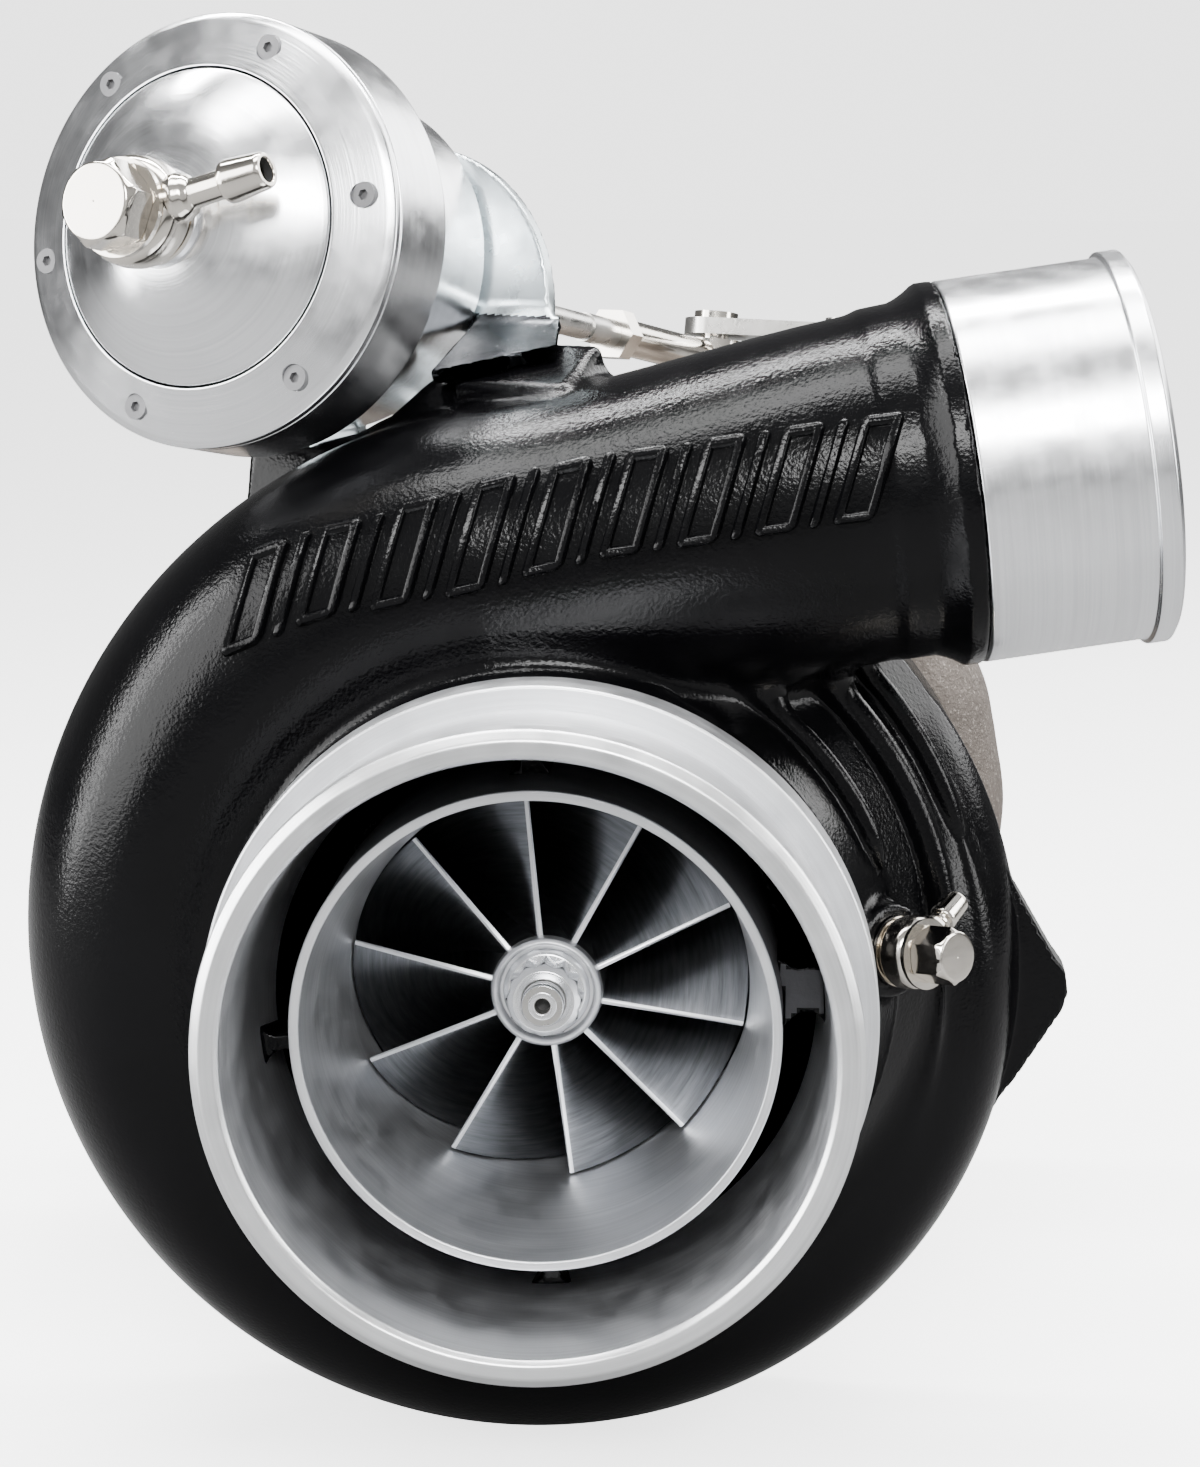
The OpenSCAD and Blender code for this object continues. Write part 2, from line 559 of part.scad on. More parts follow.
lever_z0 = 5;
lever_t = 3.4;
module wastegate_lever() {
    color([0.6, 0.59, 0.57]) at_gate() difference() {
        rotate([0, 0, pin_turn()]) translate([0, 0, lever_z0]) union() {
            cylinder(r = 8, h = lever_t);
            translate([-lever_r, 0, 0]) cylinder(r = 6.5, h = lever_t);
            linear_extrude(height = lever_t)
                polygon([[0, -8], [-lever_r, -6.5], [-lever_r, 6.5], [0, 8]]);
        }
        translate([0, 0, lever_z0 - 1]) cylinder(r = 4 + slip, h = lever_t + 2);
        rotate([0, 0, pin_turn()]) translate([-lever_r, 0, lever_z0 - 1])
            cylinder(r = 3 + slip, h = lever_t + 2);
    }
}
function pin_turn() = asin(pin_lead / lever_r);
module lever_pin() {
    color([0.75, 0.75, 0.76]) at_gate() rotate([0, 0, pin_turn()]) translate([-lever_r, 0, 0])
        difference() {
            union() {
                translate([0, 0, -7]) cylinder(r = 3, h = 7 + lever_z0 + lever_t + eps);
                translate([0, 0, lever_z0 + lever_t + slip]) cylinder(r = 4.6, h = 1.6);
            }
            translate([0, 0, -6.2]) difference() {
                cylinder(r = 4, h = 0.9);
                cylinder(r = 2.2, h = 0.9);
            }
        }
}
module pin_clip() {
    color([0.7, 0.7, 0.72]) at_gate() rotate([0, 0, pin_turn()]) translate([-lever_r, 0, -6.15])
        difference() {
            cylinder(r = 4.6, h = 0.8);
            translate([0, 0, -1]) cylinder(r = 2.2 + slip, h = 3);
            translate([-2, 0, -1]) cube([4, 8, 3]);
        }
}
// ---------------------------------------------------------------- actuator
rod_d = 5.2;
sleeve_s = 145.5;
module rod_end() {
    color([0.75, 0.74, 0.72]) at_can() difference() {
        union() {
            rod_y(3.7, sleeve_s, pin_s - 4);
            translate([0, pin_s, -4]) cylinder(r = 7, h = 8);
        }
        translate([0, pin_s, -6]) cylinder(r = 3.55, h = 12);
        rod_y(2.9, sleeve_s - 1, sleeve_s + 22);
    }
}
module rod_lock_nut() {
    color([0.78, 0.77, 0.74]) at_can() difference() {
        hex_y(9.4, sleeve_s - 4.6, sleeve_s - slip);
        rod_y(2.9, sleeve_s - 6, sleeve_s + 1);
    }
}
piston_s = 6;
module actuator_rod() {
    color([0.8, 0.79, 0.77]) at_can() {
        rod_y(2, -3, piston_s + 4.1);
        rod_y(rod_d / 2, piston_s + 4, 130);
        rod_y(2.88, 129.9, sleeve_s + 18);
    }
}
module rod_nut() {
    color([0.6, 0.6, 0.6]) at_can() difference() {
        hex_y(7, -1.6, 1.6);
        rod_y(2 + slip, -3, 3);
    }
}
module actuator_piston() {
    color([0.7, 0.7, 0.72]) at_can() turned([[2 + slip, 2.6], [21, 2.6], [22, 3.6], [22, 16],
        [20.5, 16], [20.5, 5.6], [6, 5.6], [6, piston_s + 4], [2 + slip, piston_s + 4]]);
}
module diaphragm() {
    color([0.08, 0.08, 0.08]) at_can() turned([[2 + slip, 1.62], [22.4, 1.62], [23.4, 2.4],
        [23.6, 9.4], [24.4, 10.2], [25.2, 9.4], [25.4, 1.6], [29.8, 1.6], [29.8, 2.6], [26.2, 2.6],
        [26.2, 10], [24.9, 11.2], [23.8, 11.2], [22.6, 10], [22.4, 2.58], [2 + slip, 2.58]]);
}
spring_turns = 5;
spring_r = 14;
wire_r = 1.5;
module actuator_spring() {
    steps = spring_turns * 16;
    front = 5.7 + wire_r;
    length = barrel_end - 4.2 - wire_r - front;
    color([0.55, 0.56, 0.6]) at_can() skin([for (i = [0:steps]) let (
            a = 360 * i / 16, dir = unit([-sin(a) * spring_r, length / (spring_turns * 6.2832),
                cos(a) * spring_r]), out = [cos(a), 0, sin(a)], up = cross(dir, out))
        [for (k = [0:7]) spring_r * out + [0, front + length * i / steps, 0]
            + wire_r * (cos(45 * k) * out + sin(45 * k) * up)]]);
}
ring_groove_r = 26.4;
face_rise = 4.3;
module actuator_body() {
    color([0.8, 0.8, 0.82]) at_can() difference() {
        turned([[9.5, barrel_end], [9.5, barrel_end - 4], [26.6, barrel_end - 4], [26.6, 11],
            [26.6, 2.64], [30.3, 2.64], [30.3, 1.5], [can_r, 1.5], [can_r, 15.7],
            [barrel_r + 1.5, 15.7], [barrel_r + 0.5, 17], [barrel_r, 30], [barrel_r, barrel_end - 2],
            [barrel_r - 2, barrel_end]]);
        around(6, 31.4, -11) rod_y(1.55, 0, 12);
        around(3, 18, 30) rod_y(2.5, barrel_end - 3.9, barrel_end + 1);
    }
}
module rod_bush() {
    color([0.7, 0.6, 0.35]) at_can() turned([[rod_d / 2 + run, barrel_end - 5],
        [9.5 - slip, barrel_end - 5], [9.5 - slip, barrel_end + 0.5],
        [rod_d / 2 + run, barrel_end + 0.5]]);
}
module actuator_clamp_ring() {
    color([0.82, 0.82, 0.84]) at_can() difference() {
        turned([[ring_groove_r, -face_rise], [can_r - 0.6, -0.2], [can_r, 0.3], [can_r, 1.46],
            [29.3, 1.46], [29.3, -0.6], [ring_groove_r, -0.6]]);
        around(6, 31.4, -11) {
            rod_y(2.15, -5, -0.4);
            rod_y(1.6, -5, 3);
        }
    }
}
// Domed cap under the clamp ring, with a boss for the hose fitting
dome_boss_y = -15.6;
module actuator_dome() {
    outer = [for (i = [3:10]) let (t = i / 10) [(ring_groove_r - 0.35) * t,
        -4.3 - 10.4 * (1 - t * t)]];
    inner = [for (i = [10:-1:0]) let (t = i / 10) [24.6 * t, -2.4 - 8.2 * (1 - t * t)]];
    color([0.85, 0.85, 0.86]) at_can() difference() {
        turned(concat([[0, dome_boss_y], [7, dome_boss_y], [7.4, dome_boss_y + 0.5]], outer,
            [[ring_groove_r - 0.35, -0.56], [29.2, -0.56], [29.2, 1.56], [24.6, 1.56]], inner));
        rod_y(2.5, -20, -6);
    }
}
module actuator_screws() {
    color([0.3, 0.3, 0.32]) at_can() around(6, 31.4, -11) {
        rod_y(1.5, -0.6, 10);
        difference() {
            rod_y(2.1, -2.5, -0.5);
            hex_y(1.6, -3, -1.6);
        }
    }
}
// Barbed tail of a hose fitting, along local +X
module barb(length) {
    rotate([0, 90, 0]) rotate_extrude() polygon([[1.5, 4], [2.4, 4], [2.4, length - 6],
        [3.15, length - 5], [2.3, length], [1.5, length]]);
}
banjo_h = 8;
module banjo(length, turn) {
    difference() {
        union() {
            turned([[2.6, 0], [8.4, 0], [9, 0.8], [9, banjo_h - 0.8], [8.4, banjo_h], [2.6, banjo_h]]);
            rotate([0, turn, 0]) translate([7, banjo_h / 2, 0]) rotate([0, 90, 0])
                cylinder(r = 2.9, h = 4.4);
            rotate([0, turn, 0]) translate([5.4, banjo_h / 2, 0]) barb(length);
        }
        rod_y(2.6, -1, banjo_h + 1);
        ring_y(2.5, 4.4, 2.4, banjo_h - 2.4);
        rotate([0, turn, 0]) translate([3, banjo_h / 2, 0]) rotate([0, 90, 0])
            cylinder(r = 1.5, h = length + 9);
    }
}
can_banjo_y = dome_boss_y - 1 - banjo_h;
module actuator_banjo() {
    color([0.72, 0.69, 0.64]) at_can() translate([0, can_banjo_y, 0]) banjo(22, -16);
}
module banjo_bolt(length, af, head) {
    difference() {
        union() {
            hex_y(af, -1 - head, -1);
            rod_y(2.45, -1.1, length);
        }
        rod_y(1.2, banjo_h / 2, length + 1);
        translate([0, banjo_h / 2, 0]) cylinder(r = 0.9, h = 9, center = true);
        ring_y(2, 3.2, banjo_h + 1.2, banjo_h + 1.6);
    }
}
module actuator_banjo_bolt() {
    color([0.74, 0.71, 0.66]) at_can() translate([0, can_banjo_y, 0]) banjo_bolt(16.5, 14, 8);
}
module banjo_washers(r_out) {
    ring_y(2.6, r_out, -1 + slip, -slip);
    ring_y(2.6, r_out, banjo_h + slip, banjo_h + 1 - slip);
}
module actuator_banjo_washers() {
    color([0.78, 0.76, 0.72]) at_can() translate([0, can_banjo_y, 0]) banjo_washers(8);
}
// Bent plate that carries the canister on the compressor cover
module bracket_slice() { translate([0, barrel_end + 0.1, 0]) rotate([-90, 0, 0]) children(); }
module actuator_bracket() {
    color([0.7, 0.72, 0.74]) at_can() difference() {
        union() {
            bracket_slice() linear_extrude(height = plate_t) mirror([0, 1]) union() {
                circle(r = 26);
                intersection() {
                    translate([12, -8]) circle(r = 29.3);
                    translate([-20, -11]) square([70, 50]);
                }
                translate([leg_x - leg_w / 2, -41]) square([leg_w, 35]);
            }
            foot_frame() difference() {
                translate([28, -17, 0.02]) cube([26, 19.4, 2.6]);
                translate([42.4, -12.5, -1]) cylinder(r = 2.4, h = 5);
                translate([46.6, -12.5, -1]) cylinder(r = 2.4, h = 5);
                translate([42.4, -14.9, -1]) cube([4.2, 4.8, 5]);
            }
        }
        rod_y(10.5, barrel_end - 1, barrel_end + 5);
        around(3, 18, 30) rod_y(2.7, barrel_end - 1, barrel_end + 5);
        for (s = [-1, 1]) translate([leg_x + s * leg_bolt_u, 0, leg_bolt_z])
            rod_y(2.8, barrel_end - 1, barrel_end + 5);
    }
}
stud_end = barrel_end + 9.5;
module actuator_studs() {
    color([0.68, 0.68, 0.7]) at_can() around(3, 18, 30) rod_y(2.45, barrel_end - 3.5, stud_end);
}
module actuator_nuts() {
    color([0.7, 0.7, 0.72]) at_can() around(3, 18, 30) difference() {
        hex_y(8, barrel_end + plate_t + 0.12, barrel_end + plate_t + 4.2);
        rod_y(2.5, barrel_end, stud_end + 1);
    }
}
module bracket_bolts() {
    color([0.68, 0.68, 0.7]) at_can() for (s = [-1, 1]) translate([leg_x + s * leg_bolt_u, 0, leg_bolt_z])
        bolt_y(2.45, 7, barrel_end + plate_t + 0.12, 11, 3.6);
}
// ---------------------------------------------------------------- boost signal fitting
module at_boost() {
    at_shaft() boost_frame() rotate([90, 0, 0]) mirror([0, 1, 0])
        translate([0, -banjo_h * boost_scale - 1.1, 0]) children();
}
module boost_banjo() {
    color([0.74, 0.71, 0.66]) at_boost() scale(boost_scale) banjo(17, 120);
}
module boost_banjo_bolt() {
    color([0.76, 0.73, 0.68]) at_boost() scale(boost_scale) banjo_bolt(19, 12.4, 9.5);
}
module boost_banjo_washers() {
    color([0.78, 0.76, 0.72]) at_boost() scale(boost_scale) banjo_washers(8.6);
}

compressor_cover();
compressor_wheel();
compressor_nut();
backplate();
cover_seal_ring();
cover_clamp_plates();
cover_bolts();
backplate_bolts();
bearing_housing();
turbine_shaft();
thrust_collar();
thrust_bearing();
journal_bearing();
bearing_pin();
compressor_seal_ring();
turbine_seal_ring();
heat_shield();
turbine_housing();
turbine_clamp_plates();
turbine_bolts();
wastegate_bush();
wastegate_arm();
wastegate_valve();
valve_washer();
wastegate_lever();
lever_pin();
pin_clip();
rod_end();
rod_lock_nut();
actuator_rod();
rod_nut();
actuator_piston();
diaphragm();
actuator_spring();
actuator_body();
rod_bush();
actuator_clamp_ring();
actuator_dome();
actuator_screws();
actuator_banjo();
actuator_banjo_bolt();
actuator_banjo_washers();
actuator_bracket();
actuator_studs();
actuator_nuts();
bracket_bolts();
boost_banjo();
boost_banjo_bolt();
boost_banjo_washers();
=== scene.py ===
import math
import bpy
import numpy as np
from mathutils import Matrix, Vector


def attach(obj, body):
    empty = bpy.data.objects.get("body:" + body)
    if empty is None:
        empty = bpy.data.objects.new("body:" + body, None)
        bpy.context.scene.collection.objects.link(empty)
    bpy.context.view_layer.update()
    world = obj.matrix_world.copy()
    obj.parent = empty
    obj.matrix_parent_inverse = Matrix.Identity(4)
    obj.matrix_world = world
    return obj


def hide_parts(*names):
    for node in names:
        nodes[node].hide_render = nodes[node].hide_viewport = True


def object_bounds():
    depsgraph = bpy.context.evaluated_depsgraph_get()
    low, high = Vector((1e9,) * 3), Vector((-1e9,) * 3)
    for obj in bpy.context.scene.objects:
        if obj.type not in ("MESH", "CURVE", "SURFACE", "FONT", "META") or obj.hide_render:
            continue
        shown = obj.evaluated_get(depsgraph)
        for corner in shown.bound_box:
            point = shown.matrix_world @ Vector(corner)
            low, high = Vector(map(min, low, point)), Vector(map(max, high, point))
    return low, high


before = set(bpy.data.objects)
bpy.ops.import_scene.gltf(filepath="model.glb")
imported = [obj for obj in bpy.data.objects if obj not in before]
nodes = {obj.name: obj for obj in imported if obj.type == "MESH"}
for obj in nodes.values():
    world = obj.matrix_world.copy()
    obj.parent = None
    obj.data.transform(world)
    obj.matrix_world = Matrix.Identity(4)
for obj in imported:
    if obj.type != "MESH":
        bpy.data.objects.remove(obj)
cad_low, cad_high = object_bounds()

MM = 0.001
INLET = np.array([30.0, -180.0, 86.0])


# ------------------------------------------------------------------ frames (mm, measured from the inlet lip)
def unit(v):
    v = np.asarray(v, float)
    return v / np.linalg.norm(v)


def turn(axis, deg):
    return np.array(Matrix.Rotation(math.radians(deg), 3, axis))


def place(origin, basis):
    """World matrix of a local frame given in mm from the inlet lip; basis has the local axes as columns."""
    m = Matrix.Identity(4)
    o = (np.asarray(origin, float) + INLET) * MM
    for i in range(3):
        m[i][3] = o[i]
        for j in range(3):
            m[i][j] = basis[i][j]
    return m


def axis_frame(z, x=None):
    """Local axes as columns with local Z along z."""
    z = unit(z)
    x = unit(np.cross([0, 0, 1.0], z)) if x is None else unit(x)
    return np.stack([x, np.cross(z, x), z], 1)


SHAFT = axis_frame([0, 1, 0], [1, 0, 0])

# Actuator canister: X to the right, Y along its axis away from the camera
CAN_AT = np.array([-56.6, 63.5, 123.6])
CAN = turn("Z", -25.26) @ turn("X", -10.2)
CAN_LATHE = CAN @ axis_frame([0, 1, 0], [1, 0, 0])
# The bracket's foot, which is bent to lie on the scroll
FOOT = CAN @ turn("X", 37)
FOOT_AT = CAN_AT + CAN @ np.array([0, 42, -11])
# Compressor outlet, with local Z along the flow
OUTLET_AT = np.array([66.6, 66.8, 84.0])
OUTLET_UP, OUTLET_BACK = 8.1, 5.1
OUTLET = turn("Z", OUTLET_BACK) @ turn("Y", 90 - OUTLET_UP)
OUTLET_DIR = OUTLET[:, 2]
# Boost signal port, with local Z out of the boss
BOOST_AT = np.array([57.5, 51.0, 6.3])
BOOST = turn("Z", -44) @ turn("Y", 84)


# ------------------------------------------------------------------ materials
def node(tree, kind, inputs=None, **props):
    n = tree.nodes.new("ShaderNode" + kind)
    for k, v in props.items():
        setattr(n, k, v)
    for k, v in (inputs or {}).items():
        if isinstance(v, bpy.types.NodeSocket):
            tree.links.new(v, n.inputs[k])
        else:
            n.inputs[k].default_value = v
    return n


def finish(name, color, metallic, rough, vary=0.08, blotch=60.0, rough_vary=0.06, grain=(), lines=None,
           aniso=0.0, speck=None, specular=0.5):
    """A procedural finish. grain is [(scale per metre, depth m)]. lines, for turning marks round local Z, is
    (scale per metre, depth m, share of the colour, weight of the place along the axis). speck is (scale, colour)."""
    m = bpy.data.materials.new(name)
    m.use_nodes = True
    t = m.node_tree
    bsdf = t.nodes["Principled BSDF"]
    where = node(t, "TexCoord").outputs["Object"]
    soft = node(t, "TexNoise", {"Vector": where, "Scale": blotch, "Detail": 4.0, "Roughness": 0.6})
    tone = node(t, "MapRange", {"Value": soft.outputs["Fac"], "From Min": 0.3, "From Max": 0.7})
    dark = [c * (1 - vary) for c in color] + [1]
    light = [min(1, c * (1 + vary)) for c in color] + [1]
    mix = t.nodes.new("ShaderNodeMix")
    mix.data_type = "RGBA"
    t.links.new(tone.outputs["Result"], mix.inputs[0])
    mix.inputs[6].default_value = dark
    mix.inputs[7].default_value = light
    base = mix.outputs[2]
    spread = node(t, "TexNoise", {"Vector": where, "Scale": blotch * 3.1, "Detail": 3.0})
    r = node(t, "MapRange", {"Value": spread.outputs["Fac"], "From Min": 0.3, "From Max": 0.7,
                             "To Min": max(0.02, rough - rough_vary), "To Max": rough + rough_vary})
    rough_out = r.outputs["Result"]
    normal = None
    for scale, depth in grain:
        g = node(t, "TexNoise", {"Vector": where, "Scale": scale, "Detail": 2.0, "Roughness": 0.55})
        b = node(t, "Bump", {"Height": g.outputs["Fac"], "Distance": depth, "Strength": 1.0})
        if normal is not None:
            t.links.new(normal, b.inputs["Normal"])
        normal = b.outputs["Normal"]
    if lines:
        scale, depth, share, along = lines
        flat = node(t, "VectorMath", {0: where, 1: (1, 1, 0)}, operation="MULTIPLY")
        radius = node(t, "VectorMath", {0: flat.outputs["Vector"]}, operation="LENGTH")
        axial = node(t, "SeparateXYZ", {"Vector": where})
        wobble = node(t, "Math", {0: axial.outputs["X"], 1: 0.012}, operation="MULTIPLY")
        length = node(t, "Math", {0: axial.outputs["Z"], 1: along}, operation="MULTIPLY")
        where_l = node(t, "CombineXYZ", {"X": radius.outputs["Value"], "Y": wobble.outputs["Value"],
                                         "Z": length.outputs["Value"]})
        g = node(t, "TexNoise", {"Vector": where_l.outputs["Vector"], "Scale": scale, "Detail": 3.0,
                                 "Roughness": 0.7})
        b = node(t, "Bump", {"Height": g.outputs["Fac"], "Distance": depth, "Strength": 1.0})
        if normal is not None:
            t.links.new(normal, b.inputs["Normal"])
        normal = b.outputs["Normal"]
        shade = node(t, "MapRange", {"Value": g.outputs["Fac"], "From Min": 0.3, "From Max": 0.7,
                                     "To Min": 1 - share, "To Max": 1.0})
        mul = node(t, "VectorMath", {0: base, "Scale": shade.outputs["Result"]}, operation="SCALE")
        base = mul.outputs["Vector"]
    if speck:
        scale, colour = speck
        v = node(t, "TexNoise", {"Vector": where, "Scale": scale, "Detail": 1.0})
        at = node(t, "MapRange", {"Value": v.outputs["Fac"], "From Min": 0.6, "From Max": 0.75})
        over = t.nodes.new("ShaderNodeMix")
        over.data_type = "RGBA"
        t.links.new(at.outputs["Result"], over.inputs[0])
        t.links.new(base, over.inputs[6])
        over.inputs[7].default_value = list(colour) + [1]
        base = over.outputs[2]
    t.links.new(base, bsdf.inputs["Base Color"])
    t.links.new(rough_out, bsdf.inputs["Roughness"])
    if normal is not None:
        t.links.new(normal, bsdf.inputs["Normal"])
    bsdf.inputs["Metallic"].default_value = metallic
    bsdf.inputs["Anisotropic"].default_value = aniso
    if aniso:
        round_axis = node(t, "Tangent", direction_type="RADIAL", axis="Z")
        t.links.new(round_axis.outputs["Tangent"], bsdf.inputs["Tangent"])
    bsdf.inputs["Specular IOR Level"].default_value = specular
    return m


BLACK = finish("black_coat", (0.0014, 0.0014, 0.0017), 0.0, 0.17, vary=0.3, blotch=35, rough_vary=0.04,
               grain=((420, 0.00004), (1500, 0.00008)), specular=0.15)
TURNED = finish("turned_aluminium", (0.92, 0.93, 0.95), 1.0, 0.22, vary=0.03, rough_vary=0.05,
                lines=(1900, 0.000015, 0.16, 1), aniso=0.6)
BORE = finish("bored_aluminium", (0.78, 0.79, 0.81), 1.0, 0.42, vary=0.05, rough_vary=0.05,
              lines=(1500, 0.00002, 0.16, 1))
LIP = finish("faced_aluminium", (0.83, 0.84, 0.85), 1.0, 0.33, vary=0.03, rough_vary=0.05,
             lines=(1900, 0.00001, 0.12, 1))
# Painted shade: aluminium darkened to 0.2, for the shroud ring's outer wall deep in the pocket, standing in for its
# shade and dark reflection
RING_SIDE = finish("aluminium_painted_shade", (0.2, 0.2, 0.21), 1.0, 0.5, vary=0.1, lines=(1500, 0.00002, 0.2, 1))
BILLET = finish("milled_aluminium", (0.68, 0.7, 0.73), 1.0, 0.25, vary=0.05, rough_vary=0.05)
NICKEL = finish("nickel", (0.72, 0.68, 0.62), 1.0, 0.13, vary=0.05, rough_vary=0.04, grain=((400, 0.00002),))
ZINC = finish("zinc_plate", (0.5, 0.55, 0.57), 1.0, 0.3, vary=0.12, blotch=70, rough_vary=0.08,
              grain=((900, 0.000006),))
STEEL = finish("steel", (0.5, 0.49, 0.47), 1.0, 0.28, vary=0.1, rough_vary=0.08, grain=((900, 0.00002),))
DARK_STEEL = finish("dark_steel", (0.1, 0.1, 0.105), 1.0, 0.35, vary=0.15, grain=((900, 0.00002),))
# Painted dark reflection: the bracket's foot is the same zinc plate, coloured near black to stand in for the shadowed
# can and black casting that it reflects
FOOT_REFLECTION_LOOK = finish("zinc_painted_dark_reflection", (0.035, 0.037, 0.04), 1.0, 0.2, vary=0.2, blotch=110, rough_vary=0.08,
                   grain=((900, 0.000006),))
IRON = finish("cast_iron", (0.14, 0.12, 0.105), 0.55, 0.62, vary=0.22, blotch=45, rough_vary=0.1,
              grain=((700, 0.00035), (2400, 0.0001)), speck=(1500, (0.3, 0.27, 0.24)))
BRONZE = finish("bronze", (0.5, 0.33, 0.14), 1.0, 0.3, vary=0.12, grain=((900, 0.00002),))
# Painted shade: the clamp ring's screw heads are coloured dark grey so that their holes read as shaded
SCREW_HOLE_SHADE = finish("screw_head_painted_shade", (0.15, 0.15, 0.155), 0.3, 0.6, vary=0.1)
# Real rubber for the seal ring and diaphragm, and also painted shade: the near-black lining of the shaft tip's hole
# and groove and of the barbs' bores
RUBBER_AND_HOLE_SHADE = finish("rubber", (0.018, 0.018, 0.018), 0.0, 0.6, vary=0.25, grain=((900, 0.00005),))
CASTING = finish("cast_aluminium", (0.08, 0.08, 0.085), 0.9, 0.5, vary=0.1, grain=((900, 0.0001),))

CAD_FINISH = {
    BLACK: ["compressor_cover"],
    BILLET: ["compressor_wheel", "compressor_nut", "backplate", "actuator_piston"],
    TURNED: ["actuator_body", "actuator_clamp_ring", "actuator_dome"],
    IRON: ["bearing_housing", "turbine_housing", "heat_shield"],
    NICKEL: ["actuator_banjo", "actuator_banjo_bolt", "actuator_banjo_washers", "boost_banjo",
             "boost_banjo_bolt", "boost_banjo_washers", "rod_lock_nut", "rod_end", "lever_pin", "pin_clip"],
    ZINC: ["actuator_bracket", "cover_clamp_plates", "actuator_nuts", "actuator_studs", "cover_bolts",
           "bracket_bolts", "actuator_spring"],
    STEEL: ["turbine_shaft", "turbine_bolts", "turbine_clamp_plates", "wastegate_arm", "wastegate_bush",
            "wastegate_valve", "valve_washer", "wastegate_lever", "actuator_rod", "rod_nut",
            "compressor_seal_ring", "turbine_seal_ring", "thrust_collar", "bearing_pin"],
    DARK_STEEL: ["backplate_bolts"],
    SCREW_HOLE_SHADE: ["actuator_screws"],
    BRONZE: ["thrust_bearing", "journal_bearing", "rod_bush"],
    RUBBER_AND_HOLE_SHADE: ["cover_seal_ring", "diaphragm"],
}
for look, names in CAD_FINISH.items():
    for name in names:
        slots = nodes[name].data.materials
        for i in range(max(1, len(slots))):
            if i < len(slots):
                slots[i] = look
            else:
                slots.append(look)


# ------------------------------------------------------------------ mesh helpers
def piece(name, verts, faces, looks, world, body="root", slot=None, replaces=(), which=None, sharp=None,
          normals=None):
    me = bpy.data.meshes.new(name)
    me.from_pydata([tuple(v) for v in np.asarray(verts) * MM], [], [tuple(int(i) for i in f) for f in faces])
    for look in looks if isinstance(looks, (list, tuple)) else [looks]:
        me.materials.append(look)
    if which is not None:
        me.polygons.foreach_set("material_index", np.asarray(which, np.int32))
    me.polygons.foreach_set("use_smooth", np.ones(len(me.polygons), bool))
    me.validate()
    me.update()
    if sharp:
        me.set_sharp_from_angle(angle=math.radians(sharp))
    if normals is not None:
        me.normals_split_custom_set_from_vertices([tuple(n) for n in normals])
    ob = bpy.data.objects.new(name, me)
    bpy.context.scene.collection.objects.link(ob)
    ob.matrix_world = world
    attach(ob, body)
    if replaces:
        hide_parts(*([replaces] if isinstance(replaces, str) else replaces))
    return ob


def rounded(points, radius, closed=True):
    """Rounds the real corners of a profile and adds loops beside them, so flats shade flat."""
    pts = [np.array(p, float) for p in points]
    out, n = [], len(pts)
    for i, p in enumerate(pts):
        if not closed and i in (0, n - 1):
            out.append(p)
            continue
        a, b = pts[i - 1] - p, pts[(i + 1) % n] - p
        la, lb = np.linalg.norm(a), np.linalg.norm(b)
        a, b = a / la, b / lb
        if np.dot(a, b) < -0.975:
            out.append(p)
            continue
        c = min(radius, 0.42 * la, 0.42 * lb)
        start, end = p + a * c, p + b * c
        if la > 4 * c:
            out.append(start + a * c * 0.7)
        out += [(1 - t) ** 2 * start + 2 * t * (1 - t) * p + t * t * end for t in (0, 0.25, 0.5, 0.75, 1)]
        if lb > 4 * c:
            out.append(end + b * c * 0.7)
    return out


def lathe_data(profile, count=256, limit=None):
    """Rings round local Z. limit(angle) caps the radius, for hexagons and stars."""
    a = np.arange(count) * 2 * math.pi / count
    cap = limit(a) if limit else np.full(count, 1e9)
    verts = []
    for r, z in profile:
        rr = np.minimum(max(r, 1e-3), cap)
        verts.append(np.stack([rr * np.cos(a), rr * np.sin(a), np.full(count, z)], 1))
    return np.concatenate(verts)


def ring_faces(rings, count, closed=True):
    i = np.arange(count)
    j = (i + 1) % count
    out = []
    for k in range(rings if closed else rings - 1):
        l = (k + 1) % rings
        out.append(np.stack([k * count + i, k * count + j, l * count + j, l * count + i], 1))
    return np.concatenate(out)


def lathe(name, profile, looks, world, radius=0.3, count=256, closed=True, limit=None, pick=None, outward=True,
          **rest):
    """A turned piece. radius rounds the profile's corners, and pick(r, z) gives the look of each band."""
    prof = rounded(profile, radius, closed) if radius else [np.array(p, float) for p in profile]
    verts = lathe_data(prof, count, limit)
    faces = ring_faces(len(prof), count, closed)
    area = 0.5 * sum(p[0] * q[1] - q[0] * p[1] for p, q in zip(prof, prof[1:] + prof[:1]))
    if area > 0:
        faces = faces[:, ::-1]
    if not outward:
        faces = faces[:, ::-1]
    which = None
    if pick:
        mid = [(np.array(prof[k]) + prof[(k + 1) % len(prof)]) / 2 for k in range(len(faces) // count)]
        which = np.repeat([pick(*m) for m in mid], count)
    return piece(name, verts, faces, looks, world, which=which, **rest)


def polygon_limit(af, first=0.0, second=None):
    """Radius of a hexagon with this width across flats, or of two overlaid ones, at each angle."""
    def one(a, phase):
        step = math.pi / 3
        return af / 2 / np.cos((a - phase + step / 2) % step - step / 2)

    def fn(a):
        r = one(a, first)
        return r if second is None else np.maximum(r, one(a, second))
    return fn


